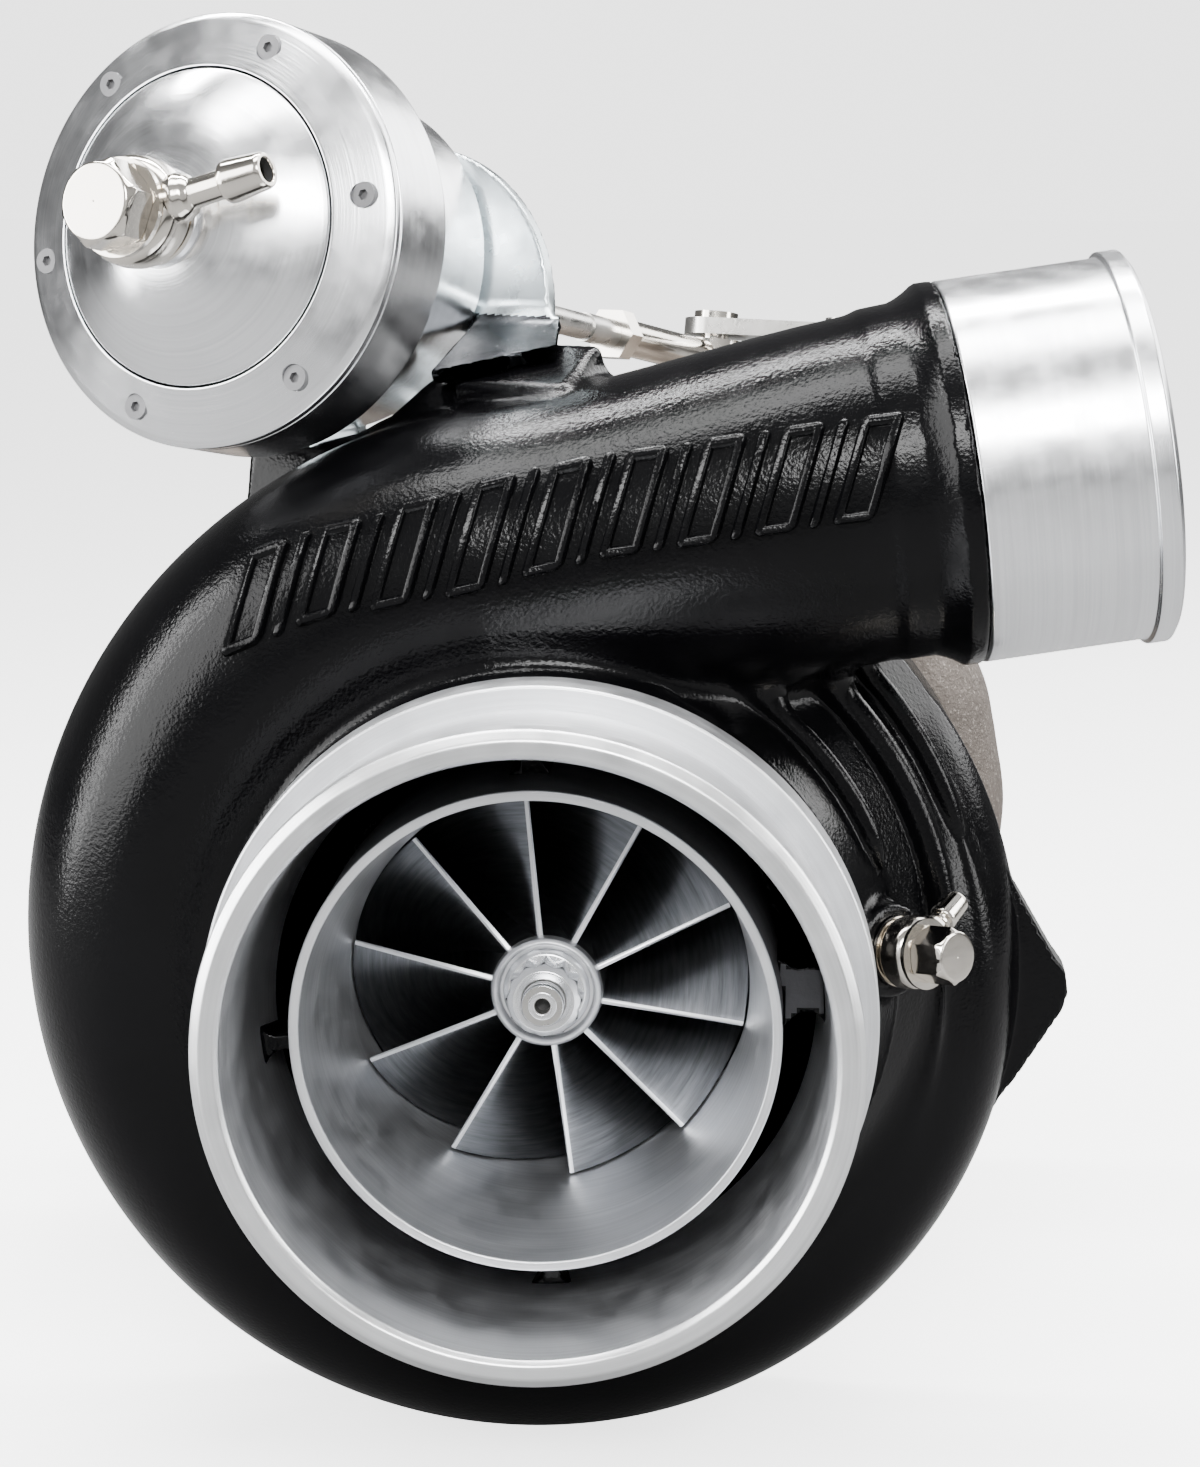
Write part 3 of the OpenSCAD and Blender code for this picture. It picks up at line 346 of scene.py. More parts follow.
def drill(ob, cutters):
    """Takes the cutters out of ob, and removes them."""
    for c in cutters:
        m = ob.modifiers.new("cut", "BOOLEAN")
        m.object, m.operation, m.solver = c, "DIFFERENCE", "EXACT"
    bpy.context.view_layer.update()
    made = bpy.data.meshes.new_from_object(ob.evaluated_get(bpy.context.evaluated_depsgraph_get()))
    ob.modifiers.clear()
    ob.data = made
    made.set_sharp_from_angle(angle=math.radians(32))
    for c in cutters:
        bpy.data.objects.remove(c)
    return ob


def cutter(profile, world, look, count=48):
    """A closed turned solid for drill, which leaves its look on the cut."""
    verts = lathe_data(profile, count)
    n = len(profile)
    faces = [tuple(f) for f in ring_faces(n, count, False)[:, ::-1]]
    faces += [tuple(range(count)), tuple(range(n * count - 1, (n - 1) * count - 1, -1))]
    me = bpy.data.meshes.new("cutter")
    me.from_pydata([tuple(v) for v in verts * MM], [], [tuple(int(i) for i in f[::-1]) for f in faces])
    me.materials.append(look)
    me.update()
    for p in me.polygons:
        p.use_smooth = len(p.vertices) == 4
    ob = bpy.data.objects.new("cutter", me)
    bpy.context.scene.collection.objects.link(ob)
    ob.matrix_world = world
    return ob


# ------------------------------------------------------------------ solid fields, for castings with blends
def polygon_table(poly, r0, r1, z0, z1, step=0.4, soften=0.0):
    """Signed distance of a polygon on a grid, looked up linearly."""
    rs, zs = np.arange(r0, r1 + step, step), np.arange(z0, z1 + step, step)
    R, Z = np.meshgrid(rs, zs, indexing="ij")
    d2 = np.full(R.shape, 1e18)
    inside = np.zeros(R.shape, bool)
    poly = np.array(poly, float)
    for a, b in zip(poly, np.roll(poly, -1, 0)):
        e = b - a
        w0, w1 = R - a[0], Z - a[1]
        t = np.clip((w0 * e[0] + w1 * e[1]) / (e @ e), 0, 1)
        d2 = np.minimum(d2, (w0 - t * e[0]) ** 2 + (w1 - t * e[1]) ** 2)
        crosses = ((a[1] > Z) != (b[1] > Z))
        with np.errstate(divide="ignore", invalid="ignore"):
            inside ^= crosses & (R < a[0] + (Z - a[1]) * e[0] / e[1])
    table = np.where(inside, -1, 1) * np.sqrt(d2) - soften

    def look(r, z):
        u = np.clip((r - r0) / step, 0, len(rs) - 1.001)
        v = np.clip((z - z0) / step, 0, len(zs) - 1.001)
        i, j = u.astype(int), v.astype(int)
        fu, fv = u - i, v - j
        return (table[i, j] * (1 - fu) * (1 - fv) + table[i + 1, j] * fu * (1 - fv)
                + table[i, j + 1] * (1 - fu) * fv + table[i + 1, j + 1] * fu * fv)
    return look


def smin(a, b, k):
    h = np.clip(0.5 + 0.5 * (b - a) / k, 0, 1)
    return b * (1 - h) + a * h - k * h * (1 - h)


def smax(a, b, k):
    return -smin(-a, -b, k)


def near(P, lo, hi, field):
    """field(P) inside a box, and far away outside it."""
    inside = np.all((P > lo) & (P < hi), axis=1)
    out = np.full(len(P), 50.0)
    if inside.any():
        out[inside] = field(P[inside])
    return out


def box_field(P, origin, basis, lo, hi, r):
    q = (P - origin) @ basis
    c, h = (np.array(lo) + hi) / 2, (np.array(hi, float) - lo) / 2 - r
    d = np.abs(q - c) - h
    return np.linalg.norm(np.maximum(d, 0), axis=1) + np.minimum(d.max(1), 0) - r


def cylinder_field(P, origin, basis, radius, z0, z1, r):
    q = (P - origin) @ basis
    d = np.stack([np.hypot(q[:, 0], q[:, 1]) - radius + r, np.abs(q[:, 2] - (z0 + z1) / 2) - (z1 - z0) / 2 + r], 1)
    return np.linalg.norm(np.maximum(d, 0), axis=1) + np.minimum(d.max(1), 0) - r


def tube_field(P, path, radii):
    best = np.full(len(P), 1e9)
    for a, b, ra, rb in zip(path, path[1:], radii, radii[1:]):
        e = b - a
        t = np.clip((P - a) @ e / (e @ e), 0, 1)
        best = np.minimum(best, np.linalg.norm(P - a - t[:, None] * e, axis=1) - ra - (rb - ra) * t)
    return best


def skin_field(field, lo, hi, step):
    """Surface nets: a quad mesh of field = 0, then moved on to the exact surface, with its normals."""
    lo, hi = np.array(lo, float), np.array(hi, float)
    n = np.ceil((hi - lo) / step).astype(int) + 1
    axes = [lo[i] + step * np.arange(n[i]) for i in range(3)]
    V = np.empty(n)
    Y, Z = np.meshgrid(axes[1], axes[2], indexing="ij")
    flat = np.stack([np.zeros(Y.size), Y.ravel(), Z.ravel()], 1)
    block = 12
    for i in range(0, n[0], block):
        xs = axes[0][i:i + block]
        P = np.tile(flat, (len(xs), 1))
        P[:, 0] = np.repeat(xs, Y.size)
        V[i:i + block] = field(P).reshape(len(xs), n[1], n[2])
    S = V < 0
    count, total = np.zeros(n - 1), np.zeros(tuple(n - 1) + (3,))
    corners = [(0, 0, 0), (1, 0, 0), (0, 1, 0), (0, 0, 1), (1, 1, 0), (1, 0, 1), (0, 1, 1), (1, 1, 1)]

    def at(c):
        return tuple(slice(c[k], n[k] - 1 + c[k]) for k in range(3))
    for axis in range(3):
        for c in [c for c in corners if c[axis] == 0]:
            d = list(c)
            d[axis] = 1
            va, vb = V[at(c)], V[at(d)]
            cut = (va < 0) != (vb < 0)
            t = np.zeros(va.shape)
            t[cut] = va[cut] / (va[cut] - vb[cut])
            count += cut
            for k in range(3):
                total[..., k] += cut * (c[k] + (t if k == axis else 0))
    cell = np.nonzero(count)
    ids = -np.ones(tuple(n - 1), np.int64)
    ids[cell] = np.arange(len(cell[0]))
    verts = (np.stack(cell, 1) + total[cell] / count[cell][:, None]) * step + lo
    quads = []
    for axis in range(3):
        b, c = (axis + 1) % 3, (axis + 2) % 3
        sl0, sl1 = [slice(None)] * 3, [slice(None)] * 3
        sl0[axis], sl1[axis] = slice(0, n[axis] - 1), slice(1, n[axis])
        change = S[tuple(sl0)] != S[tuple(sl1)]
        inner = [slice(None)] * 3
        inner[b], inner[c] = slice(1, n[b] - 1), slice(1, n[c] - 1)
        where = np.nonzero(change[tuple(inner)])
        p = [np.array(w) for w in where]
        p[b], p[c] = p[b] + 1, p[c] + 1
        first = S[tuple(p)]
        q = []
        for db, dc in ((-1, -1), (0, -1), (0, 0), (-1, 0)):
            s = [w.copy() for w in p]
            s[b], s[c] = s[b] + db, s[c] + dc
            q.append(ids[tuple(s)])
        q = np.stack(q, 1)
        q[~first] = q[~first][:, ::-1]
        quads.append(q)
    quads = np.concatenate(quads)
    eps = 0.05
    for _ in range(3):
        f = field(verts)
        g = np.stack([field(verts + eps * np.eye(3)[k]) - field(verts - eps * np.eye(3)[k]) for k in range(3)], 1)
        g /= 2 * eps
        g2 = np.maximum((g ** 2).sum(1), 0.25)
        verts = verts - np.clip(f / g2, -0.6 * step, 0.6 * step)[:, None] * g
    g = np.stack([field(verts + 0.15 * np.eye(3)[k]) - field(verts - 0.15 * np.eye(3)[k]) for k in range(3)], 1)
    normals = g / np.maximum(np.linalg.norm(g, axis=1), 1e-9)[:, None]
    return verts, quads, normals


# ------------------------------------------------------------------ compressor cover
# Growth of the passage, wall, rear plane and the circle that the scroll runs along
RATE, WALL, REAR, ROUND = 2.06, 3.2, 97.0, 67.5
TURN_END = 297


def flow_r(t):
    """Radius of the scroll's passage, t degrees after the tongue."""
    return np.sqrt(RATE * np.maximum(t, 0))


def scroll_centre(t):
    a = math.radians(35 - t)
    return np.array([ROUND * math.cos(a), REAR - WALL - float(flow_r(t)), ROUND * math.sin(a)])


NECK_A = scroll_centre(TURN_END)
NECK_DIR = np.array([math.sin(math.radians(35 - TURN_END)), 0, -math.cos(math.radians(35 - TURN_END))])
NECK_LEN = np.linalg.norm(OUTLET_AT - NECK_A)
NECK_T = np.linspace(0, 1, 13)
NECK = [(2 * t ** 3 - 3 * t ** 2 + 1) * NECK_A + (t ** 3 - 2 * t ** 2 + t) * NECK_LEN * NECK_DIR
        + (3 * t ** 2 - 2 * t ** 3) * OUTLET_AT + (t ** 3 - t ** 2) * NECK_LEN * OUTLET_DIR for t in NECK_T]
NECK_R = [float(flow_r(TURN_END)) + (28.9 - WALL - float(flow_r(TURN_END))) * t for t in NECK_T]

COVER_SHAPE = [(46.8, 26.5), (53.8, 26.5), (53.8, 33), (52.6, 35), (52.6, 47), (58, 60), (66, 70), (72, 80),
               (76.5, 88), (76.5, 104), (67, 104), (67, 99), (62, 99), (62, 87), (47, 87), (43, 78), (39.5, 66),
               (39, 60.5), (40.5, 60), (43.5, 56), (45.6, 48), (46.8, 30)]
cover_table = polygon_table(COVER_SHAPE, 30, 110, 18, 112, soften=0.5)
lip_table = polygon_table([(20, -12), (27.6, -12), (27.9, -7), (31.35, -2.8), (31.35, -0.5), (20, -0.5)],
                          0, 60, -30, 20, 0.3, soften=0.5)
LUG = [(68, 24), (79.5, 8), (85.6, -2.6), (88, -6), (88.4, -9.5), (87.4, -12.6), (79.5, -25), (68, -40)]
lug_table = polygon_table(LUG, 50, 110, -60, 50, soften=0.4)
# Ribs beside the outlet neck: radius, place along the shaft, size, middle angle and half angle
RIDGES = [(58.4, 57.5, 2.2, 42, 15), (66.4, 68.2, 2.8, 29, 20), (71.6, 77, 2.3, 33, 8)]
RIDGE_FADE = 9
GUSSET_R = 5.5
GUSSET = [CAN_AT + CAN @ np.array([37 * math.cos(math.radians(a)), 35, 37 * math.sin(math.radians(a))])
          for a in (-42, -56, -70, -82)]


def cover_outer(P):
    """The cover's outside as a distance, with the places that cover_field uses too."""
    x, y, z = P.T
    rho = np.hypot(x, z)
    th = np.degrees(np.arctan2(z, x))
    body = cover_table(rho, y)
    for r0, y0, size, mid, half in RIDGES:
        off = np.abs((th - mid + 180) % 360 - 180)
        fade = 1 - np.clip((off - half) / RIDGE_FADE, 0, 1) ** 2
        body = smin(body, np.hypot(rho - r0, y - y0) - size * fade, 1.1)
    t = (35 - th) % 360
    t = np.where(t > 330, t - 360, t)
    tc = np.clip(t, 3, TURN_END)
    f = flow_r(tc)
    scroll = np.hypot(rho - ROUND, y - (REAR - WALL - f)) - f - WALL
    scroll = scroll + np.where(t < 3, (3 - t) * 1.2, 0) + np.where(t > TURN_END, (t - TURN_END) * 0.8, 0)
    neck = near(P, (-40, 20, 30), (110, 112, 125), lambda q: tube_field(q, NECK, [r + WALL for r in NECK_R]))
    q = (P - OUTLET_AT) @ OUTLET
    neck = np.maximum(neck, q[:, 2] + 1.2)
    lip = lip_table(np.hypot(q[:, 0], q[:, 1]), q[:, 2])
    neck = smin(neck, lip, 3.0)
    beyond = np.abs((th - 98 + 180) % 360 - 180)
    tube = smin(scroll, neck, 0.05 + 1.4 * np.clip((beyond - 20) / 15, 0, 1))
    d = smin(tube, body, 7.0)
    boss = near(P, (30, 20, -30), (90, 80, 45), lambda q: cylinder_field(q, BOOST_AT, BOOST, 7.8, -14, 0, 0.8))
    d = smin(d, boss, 2.5)
    lug = np.maximum(lug_table(x, z), np.abs(y - 90.5) - 5.0)
    d = smin(d, lug, 1.5)
    pad = near(P, (-110, 20, 30), (40, 140, 160), lambda q: np.minimum(
        box_field(q, FOOT_AT, FOOT, (31, -16.5, -17), (53, -1.5, -0.1), 1.5),
        np.minimum(box_field(q, CAN_AT, CAN, (-9.5, 30.5, -57), (5.5, 42, -32.6), 1.5),
                   tube_field(q, GUSSET, [GUSSET_R] * len(GUSSET)))))
    d = smin(d, pad, 4.0)
    return d, rho, y, t, q, th


pocket_table = polygon_table([(39.3, 10), (46.9, 10), (46.7, 24), (45.5, 48), (43, 56), (40, 60.5), (36, 60.5)],
                             20, 70, 0, 80, 0.3)


# Webs across the pocket: angle and half width
WEB_FRONT = 32.5
WEBS = [(5.5, 3.6), (92, 1.2), (188, 1.2), (272, 1.2)]


def cover_field(P):
    """The whole cover: the outside less the passage, the pocket and the bore, with the pocket's webs."""
    d, rho, y, t, q, th = cover_outer(P)
    f = flow_r(np.clip(t, 12, TURN_END))
    flow = np.hypot(rho - ROUND, y - (REAR - WALL - f)) - f
    flow = np.where((t > 12) & (t <= TURN_END), flow, 50)
    neck = near(P, (-40, 20, 30), (110, 112, 125), lambda p: tube_field(p, NECK, NECK_R))
    mouth = np.maximum(np.hypot(q[:, 0], q[:, 1]) - 27.5, np.abs(q[:, 2]) - 9)
    d = np.maximum(d, -np.minimum(np.minimum(flow, neck), mouth))
    webs = np.full(len(P), 50.0)
    for a, half in WEBS:
        off = (th - a + 180) % 360 - 180
        wide = half + 2.4 * np.minimum((rho - 42.8) / 3.6, 1.2) ** 2
        webs = np.minimum(webs, np.maximum(np.abs(np.radians(off)) * rho - wide, WEB_FRONT - y))
    d = np.maximum(d, -pocket_table(rho, y))
    d = smin(d, np.maximum(webs, np.maximum(np.abs(rho - 42.6) - 3.9, y - 62)), 1.6)
    bore = np.maximum(rho - 38.4, y - 87)
    rear = np.maximum(rho - 61.9, 87 - y)
    return np.maximum(d, -np.minimum(bore, rear))


verts, faces, normals = skin_field(cover_field, (-96, 24, -91), (98, 106, 119), 0.9)
spread = np.hypot(verts[:, 0], verts[:, 2])
cut_web = ((np.abs(verts[:, 1] - WEB_FRONT) < 0.7) & (normals[:, 1] < -0.6) & (spread > 39) & (spread < 47.5)
           & (verts[:, 0] > 38) & (np.abs(verts[:, 2]) < 16))
piece("cover_casting", verts, faces, [BLACK, CASTING], place((0, 0, 0), np.eye(3)), slot="black_coat",
      normals=normals, which=cut_web[faces].all(1).astype(int), replaces="compressor_cover")
shaft_place = place((0, 0, 0), SHAFT)

# The pocket's outer wall is bored in one cut with the inside of the pipe
lathe("inlet_pipe", [(47.2, 42.8), (47.2, 27.3), (50.8, 27.3), (50.8, 6.4), (52, 5.1), (52, 1.3), (50.4, 0),
                     (48.2, 0), (47.3, 0.9), (46.75, 18.5), (46.6, 23), (46.2, 29), (45.4, 36), (44.4, 42),
                     (44.9, 42.8)],
      [BORE, LIP], shaft_place, 0.35, slot="machined", pick=lambda r, z: 1 if z < 1.2 else 0)
lathe("inlet_collar", [(50.6, 25.8), (54.1, 25.8), (54.45, 26.2), (54.45, 34.9), (53, 35.4), (50.6, 35.4)], BORE,
      shaft_place, 0.3, slot="machined")


def shroud(m, gap=0.45):
    """Contour that the wheel runs in, from the inducer at m = 0 to the exit at m = 1."""
    return (33 + gap + 11 * (1 - math.cos(math.pi / 2 * m)), 51 + 35.5 * math.sin(math.pi / 2 * m))


contour = [shroud(m) for m in np.linspace(0, 1, 22)]
outside = [(37.5, 18.5), (39.1, 18.5), (39.1, 46), (38.3, 57.6), (38.3, 62), (41, 72), (44, 82), (47, 87)]
# The ring's outer wall inside the pocket takes the aluminium painted dark as shade
lathe("shroud_ring", outside + contour[::-1] + [(34.2, 44), (36.2, 30)], [BORE, RING_SIDE], shaft_place, 0.35,
      slot="machined", pick=lambda r, z: 1 if r > 38.2 and z > 19.6 else 0)

lathe("outlet_spigot", [(25.7, -6), (27.3, -6), (27.3, 0.12), (31.4, 0.12), (31.75, 0.5), (31.75, 27.3),
                        (32.65, 27.5), (32.65, 30.7), (31.3, 31.6), (30, 31.6), (25.7, 27.6)], TURNED,
      place(OUTLET_AT, OUTLET), 0.3, slot="machined")

# ------------------------------------------------------------------ compressor wheel
HUB_F = (9.3, 46.5)


def hub_line(m):
    return np.array([HUB_F[0] + (44 - HUB_F[0]) * (1 - math.cos(math.pi / 2 * m)),
                     HUB_F[1] + 44.1 * math.sin(math.pi / 2 * m)])


def tip_line(m):
    return np.array(shroud(m, 0))


def blade_point(m, s):
    """A point of the blade's middle surface, m along the flow and s from hub to tip."""
    p = (1 - s) * hub_line(m) + s * tip_line(m)
    a = math.radians(-12 + 56 * (1 - (1 - m) ** 3) + 12 * m ** 3)
    return np.array([p[0] * math.cos(a), p[1], p[0] * math.sin(a)])


def blade():
    """One blade: vertices, faces, and which faces are its leading edge."""
    steps, spans = 44, 14
    ms = [0, 0.002, 0.006] + list(np.linspace(0.014, 0.99, steps))
    ss = np.linspace(-0.04, 1, spans)
    verts, faces = [], []
    for m in ms:
        sides = []
        for side in (-1, 1):
            row = []
            for s in ss:
                p = blade_point(m, s)
                n = np.cross(blade_point(m + 0.01, s) - p, blade_point(m, s + 0.02) - p)
                n /= np.linalg.norm(n)
                t = 1.75 - 1.15 * max(s, 0)
                rounding = min(1, 0.62 + 38 * m) if m > 0.001 else 0.45
                lead = (1.3 - 0.55 * max(s, 0)) / t
                row.append(p + side * t / 2 * rounding * (lead if m < 0.01 else min(1, lead + 6 * m)) * n)
            sides.append(row)
        verts += sides[0] + sides[1][::-1]
    k = 2 * spans
    for i in range(len(ms) - 1):
        for j in range(k):
            l = (j + 1) % k
            faces.append((i * k + j, i * k + l, (i + 1) * k + l, (i + 1) * k + j))
    for i, rev in ((0, False), (len(ms) - 1, True)):
        for j in range(spans - 1):
            f = (i * k + j, i * k + k - 1 - j, i * k + k - 2 - j, i * k + j + 1)
            faces.append(f[::-1] if rev else f)
    edge = [f[0] < 2 * k for f in faces]
    return np.array(verts), np.array(faces), edge


bv, bf, at_edge = blade()
blades_v, blades_f = [], []
BLADES = 10
for i in range(BLADES):
    a = 2 * math.pi * i / BLADES
    c, s = math.cos(a), math.sin(a)
    rot = np.array([[c, 0, -s], [0, 1, 0], [s, 0, c]])
    blades_f.append(bf + len(bv) * i)
    blades_v.append(bv @ rot.T)
# Painted shade: the blades and hub are aluminium darkened to 0.3 for the shade deep in the inducer, while the leading
# edges and the nose keep bright aluminium
blade_shade_look = finish("milled_blade_painted_shade", (0.3, 0.31, 0.33), 1.0, 0.3, vary=0.03, rough_vary=0.02,
                    lines=(1300, 0.00005, 0.45, 0.1))
edge_look = finish("milled_edge", (0.85, 0.86, 0.88), 1.0, 0.4, vary=0.03)
piece("wheel_blades", np.concatenate(blades_v) @ np.linalg.inv(SHAFT).T, np.concatenate(blades_f),
      [blade_shade_look, edge_look], shaft_place, body="rotor", slot="billet", sharp=40, which=at_edge * BLADES)
hub = [tuple(hub_line(m)) for m in np.linspace(0, 1, 26)]
lathe("wheel_hub", [(7.8, 46.4), (8.1, 44.6), (8.5, 44.3), (9.1, 44.9), (9.3, 46.4)] + hub[1:]
      + [(44, 91.6), (20, 92.2), (8, 92.5), (4.1, 92.5), (4.1, 46.4)],
      [BORE, blade_shade_look], shaft_place, 0.25, body="rotor", slot="billet", replaces="compressor_wheel",
      pick=lambda r, z: 0 if z < 47.5 else 1)
star = polygon_limit(11, 0, math.pi / 6)
lathe("nut_star", [(3.6, 38.9), (5.0, 38.6), (5.9, 39.3), (6.6, 40.2), (6.6, 45.2), (3.6, 45.2)], TURNED,
      shaft_place, 0.15, 288, limit=star, body="rotor", slot="steel", sharp=28, replaces="compressor_nut")
lathe("nut_flange", [(3.6, 44.9), (6.3, 44.9), (7.2, 45.6), (7.2, 46.4), (3.6, 46.4)], TURNED, shaft_place, 0.2,
      96, body="rotor", slot="steel")

# The shaft tip's hole and its ring groove are painted near black as shade, and shaft_socket is a near-black disc at
# the hole's bottom standing in for its shade
lathe("shaft_tip", [(1.4, 38.6), (1.4, 35.8), (1.5, 35.72), (2.25, 35.72), (2.4, 35.85), (2.45, 36.7), (3.0, 36.7),
                    (3.05, 35.95), (3.2, 35.8), (3.4, 35.9), (3.56, 36.2), (3.56, 38.5)], [TURNED, RUBBER_AND_HOLE_SHADE],
      shaft_place, 0, 96, closed=False, body="rotor", slot="dark_steel",
      pick=lambda r, z: 1 if r < 1.42 or 2.35 < r < 3.1 else 0)
lathe("shaft_socket", [(1.41, 38.5), (0.02, 38.6)], RUBBER_AND_HOLE_SHADE, shaft_place, 0, 48, closed=False, body="rotor",
      slot="dark_steel")

# ------------------------------------------------------------------ actuator
can_place = place(CAN_AT, CAN_LATHE)
DOME_R = 26.05
dome = [(7.6, -15.1), (7.9, -13.5)] + [(DOME_R * t, -4.3 - 10.4 * (1 - t * t)) for t in np.linspace(0.31, 1, 22)]
lathe("can_dome", [(2.5, -15.6), (7.2, -15.6)] + dome + [(DOME_R, -0.6), (20, -0.6), (10, -4), (2.5, -6)], TURNED,
      can_place, 0.3, slot="machined", replaces="actuator_dome")
can_ring = lathe("can_ring", [(26.4, -4.3), (35.0, -0.65), (36, 0.1), (36, 1.46), (29.3, 1.46), (26.4, 0.4)], TURNED,
                 can_place, 0.35, slot="machined", replaces="actuator_clamp_ring")
holes = []
for i in range(6):
    a = math.radians(-11 + 60 * i)
    at = CAN_AT + CAN @ np.array([31.4 * math.cos(a), 0, -31.4 * math.sin(a)])
    holes.append(cutter([(2.15, -6), (2.15, -0.6), (1.6, -0.59), (1.6, 4)], place(at, CAN_LATHE), TURNED))
drill(can_ring, holes)
lathe("can_body", [(9.5, 42), (9.5, 38), (26.6, 38), (26.6, 2.64), (30.3, 2.64), (30.3, 1.55), (36, 1.55),
                   (36, 15.7), (30.5, 15.7), (29.6, 17), (29, 30), (29, 40.5), (27.4, 42)], TURNED, can_place,
      0.35, slot="machined", replaces="actuator_body")


# ------------------------------------------------------------------ raised ornament on the scroll
# The band's top and bottom edge at some places across the scroll, and how far its bars lean
BAND_X = [-54, -46, -36, -25, -12, -1, 9, 22, 35, 47, 59]
BAND_TOP = [69.9, 73.1, 76.6, 80.1, 83.9, 86.5, 88.7, 90.9, 93.1, 95.0, 96.7]
BAND_LOW = [54.3, 58.1, 62.1, 64.2, 66.6, 69.7, 72.5, 74.5, 76.7, 78.7, 80.4]
SHEAR = 0.3


def on_cover(x, z):
    """Points of the cover's front at x, z, with their outward normals."""
    P = np.stack([x, np.full(len(x), 24.0), z], 1)
    for _ in range(40):
        P[:, 1] += np.clip(cover_outer(P)[0], -3, 6) * 0.75
    e = 0.2 * np.eye(3)
    n = np.stack([cover_outer(P + e[k])[0] - cover_outer(P - e[k])[0] for k in range(3)], 1)
    return P, n / np.linalg.norm(n, axis=1)[:, None]


def raised_bar(mid, half_u, v0, v1, steps):
    """A rounded bar standing on the scroll; steps is [(inset, height)]."""
    count = 12
    rings = []
    for inset, height in steps:
        a, r = half_u - inset, max(min(half_u, 1.5) - inset, 0.05)
        lo, hi = v0 + inset, v1 - inset
        t = np.linspace(0, math.pi / 2, 5)
        side = [(a, v) for v in np.linspace(lo + r, hi - r, count)]
        top = [(a - r + r * math.cos(k), hi - r + r * math.sin(k)) for k in t[1:]]
        low = [(a - r + r * math.cos(k), lo + r - r * math.sin(k)) for k in t[:0:-1]]
        half = low + side + top
        rings.append((half + [(-u, v) for u, v in half[::-1]], height))
    n = len(rings[0][0])
    u = np.array([[p[0] for p in ring] for ring, _ in rings]).ravel()
    v = np.array([[p[1] for p in ring] for ring, _ in rings]).ravel()
    x = mid + u + SHEAR * v
    z = v + (np.interp(x, BAND_X, BAND_TOP) + np.interp(x, BAND_X, BAND_LOW)) / 2
    P, normal = on_cover(x, z)
    P += normal * np.repeat([h for _, h in rings], n)[:, None]
    k, i = len(rings), np.arange(n)
    faces = []
    for m in range(k - 1):
        faces.append(np.stack([m * n + i, m * n + (i + 1) % n, (m + 1) * n + (i + 1) % n, (m + 1) * n + i], 1))
    h = np.arange(n // 2 - 1)
    last = (k - 1) * n
    faces.append(np.stack([last + h, last + h + 1, last + n - 2 - h, last + n - 1 - h], 1))
    return P, np.concatenate(faces)[:, ::-1]


WIDE = [(0, -0.8), (0, 0.2), (0.15, 0.9), (0.5, 1.35), (1.35, 1.35), (1.65, 1.1), (1.9, 0.35)]
THIN = [(0, -0.8), (0, 0.2), (0.15, 0.8), (0.5, 1.2)]
bars = []
BARS, FIRST, PITCH = 9, -47.5, 12.4
for i in range(BARS):
    at = FIRST + PITCH * i
    tall = (np.interp(at, BAND_X, BAND_TOP) - np.interp(at, BAND_X, BAND_LOW)) / 2
    bars.append(raised_bar(at, 3.5, -tall, tall, WIDE))
    if i < BARS - 1:
        bars.append(raised_bar(at + PITCH / 2, 1.0, -tall, tall * 0.99, THIN))
starts = np.cumsum([0] + [len(P) for P, _ in bars])
piece("scroll_ornament", np.concatenate([P for P, _ in bars]),
      np.concatenate([f + start for (_, f), start in zip(bars, starts)]), BLACK, place((0, 0, 0), np.eye(3)),
      slot="black_coat", sharp=50)


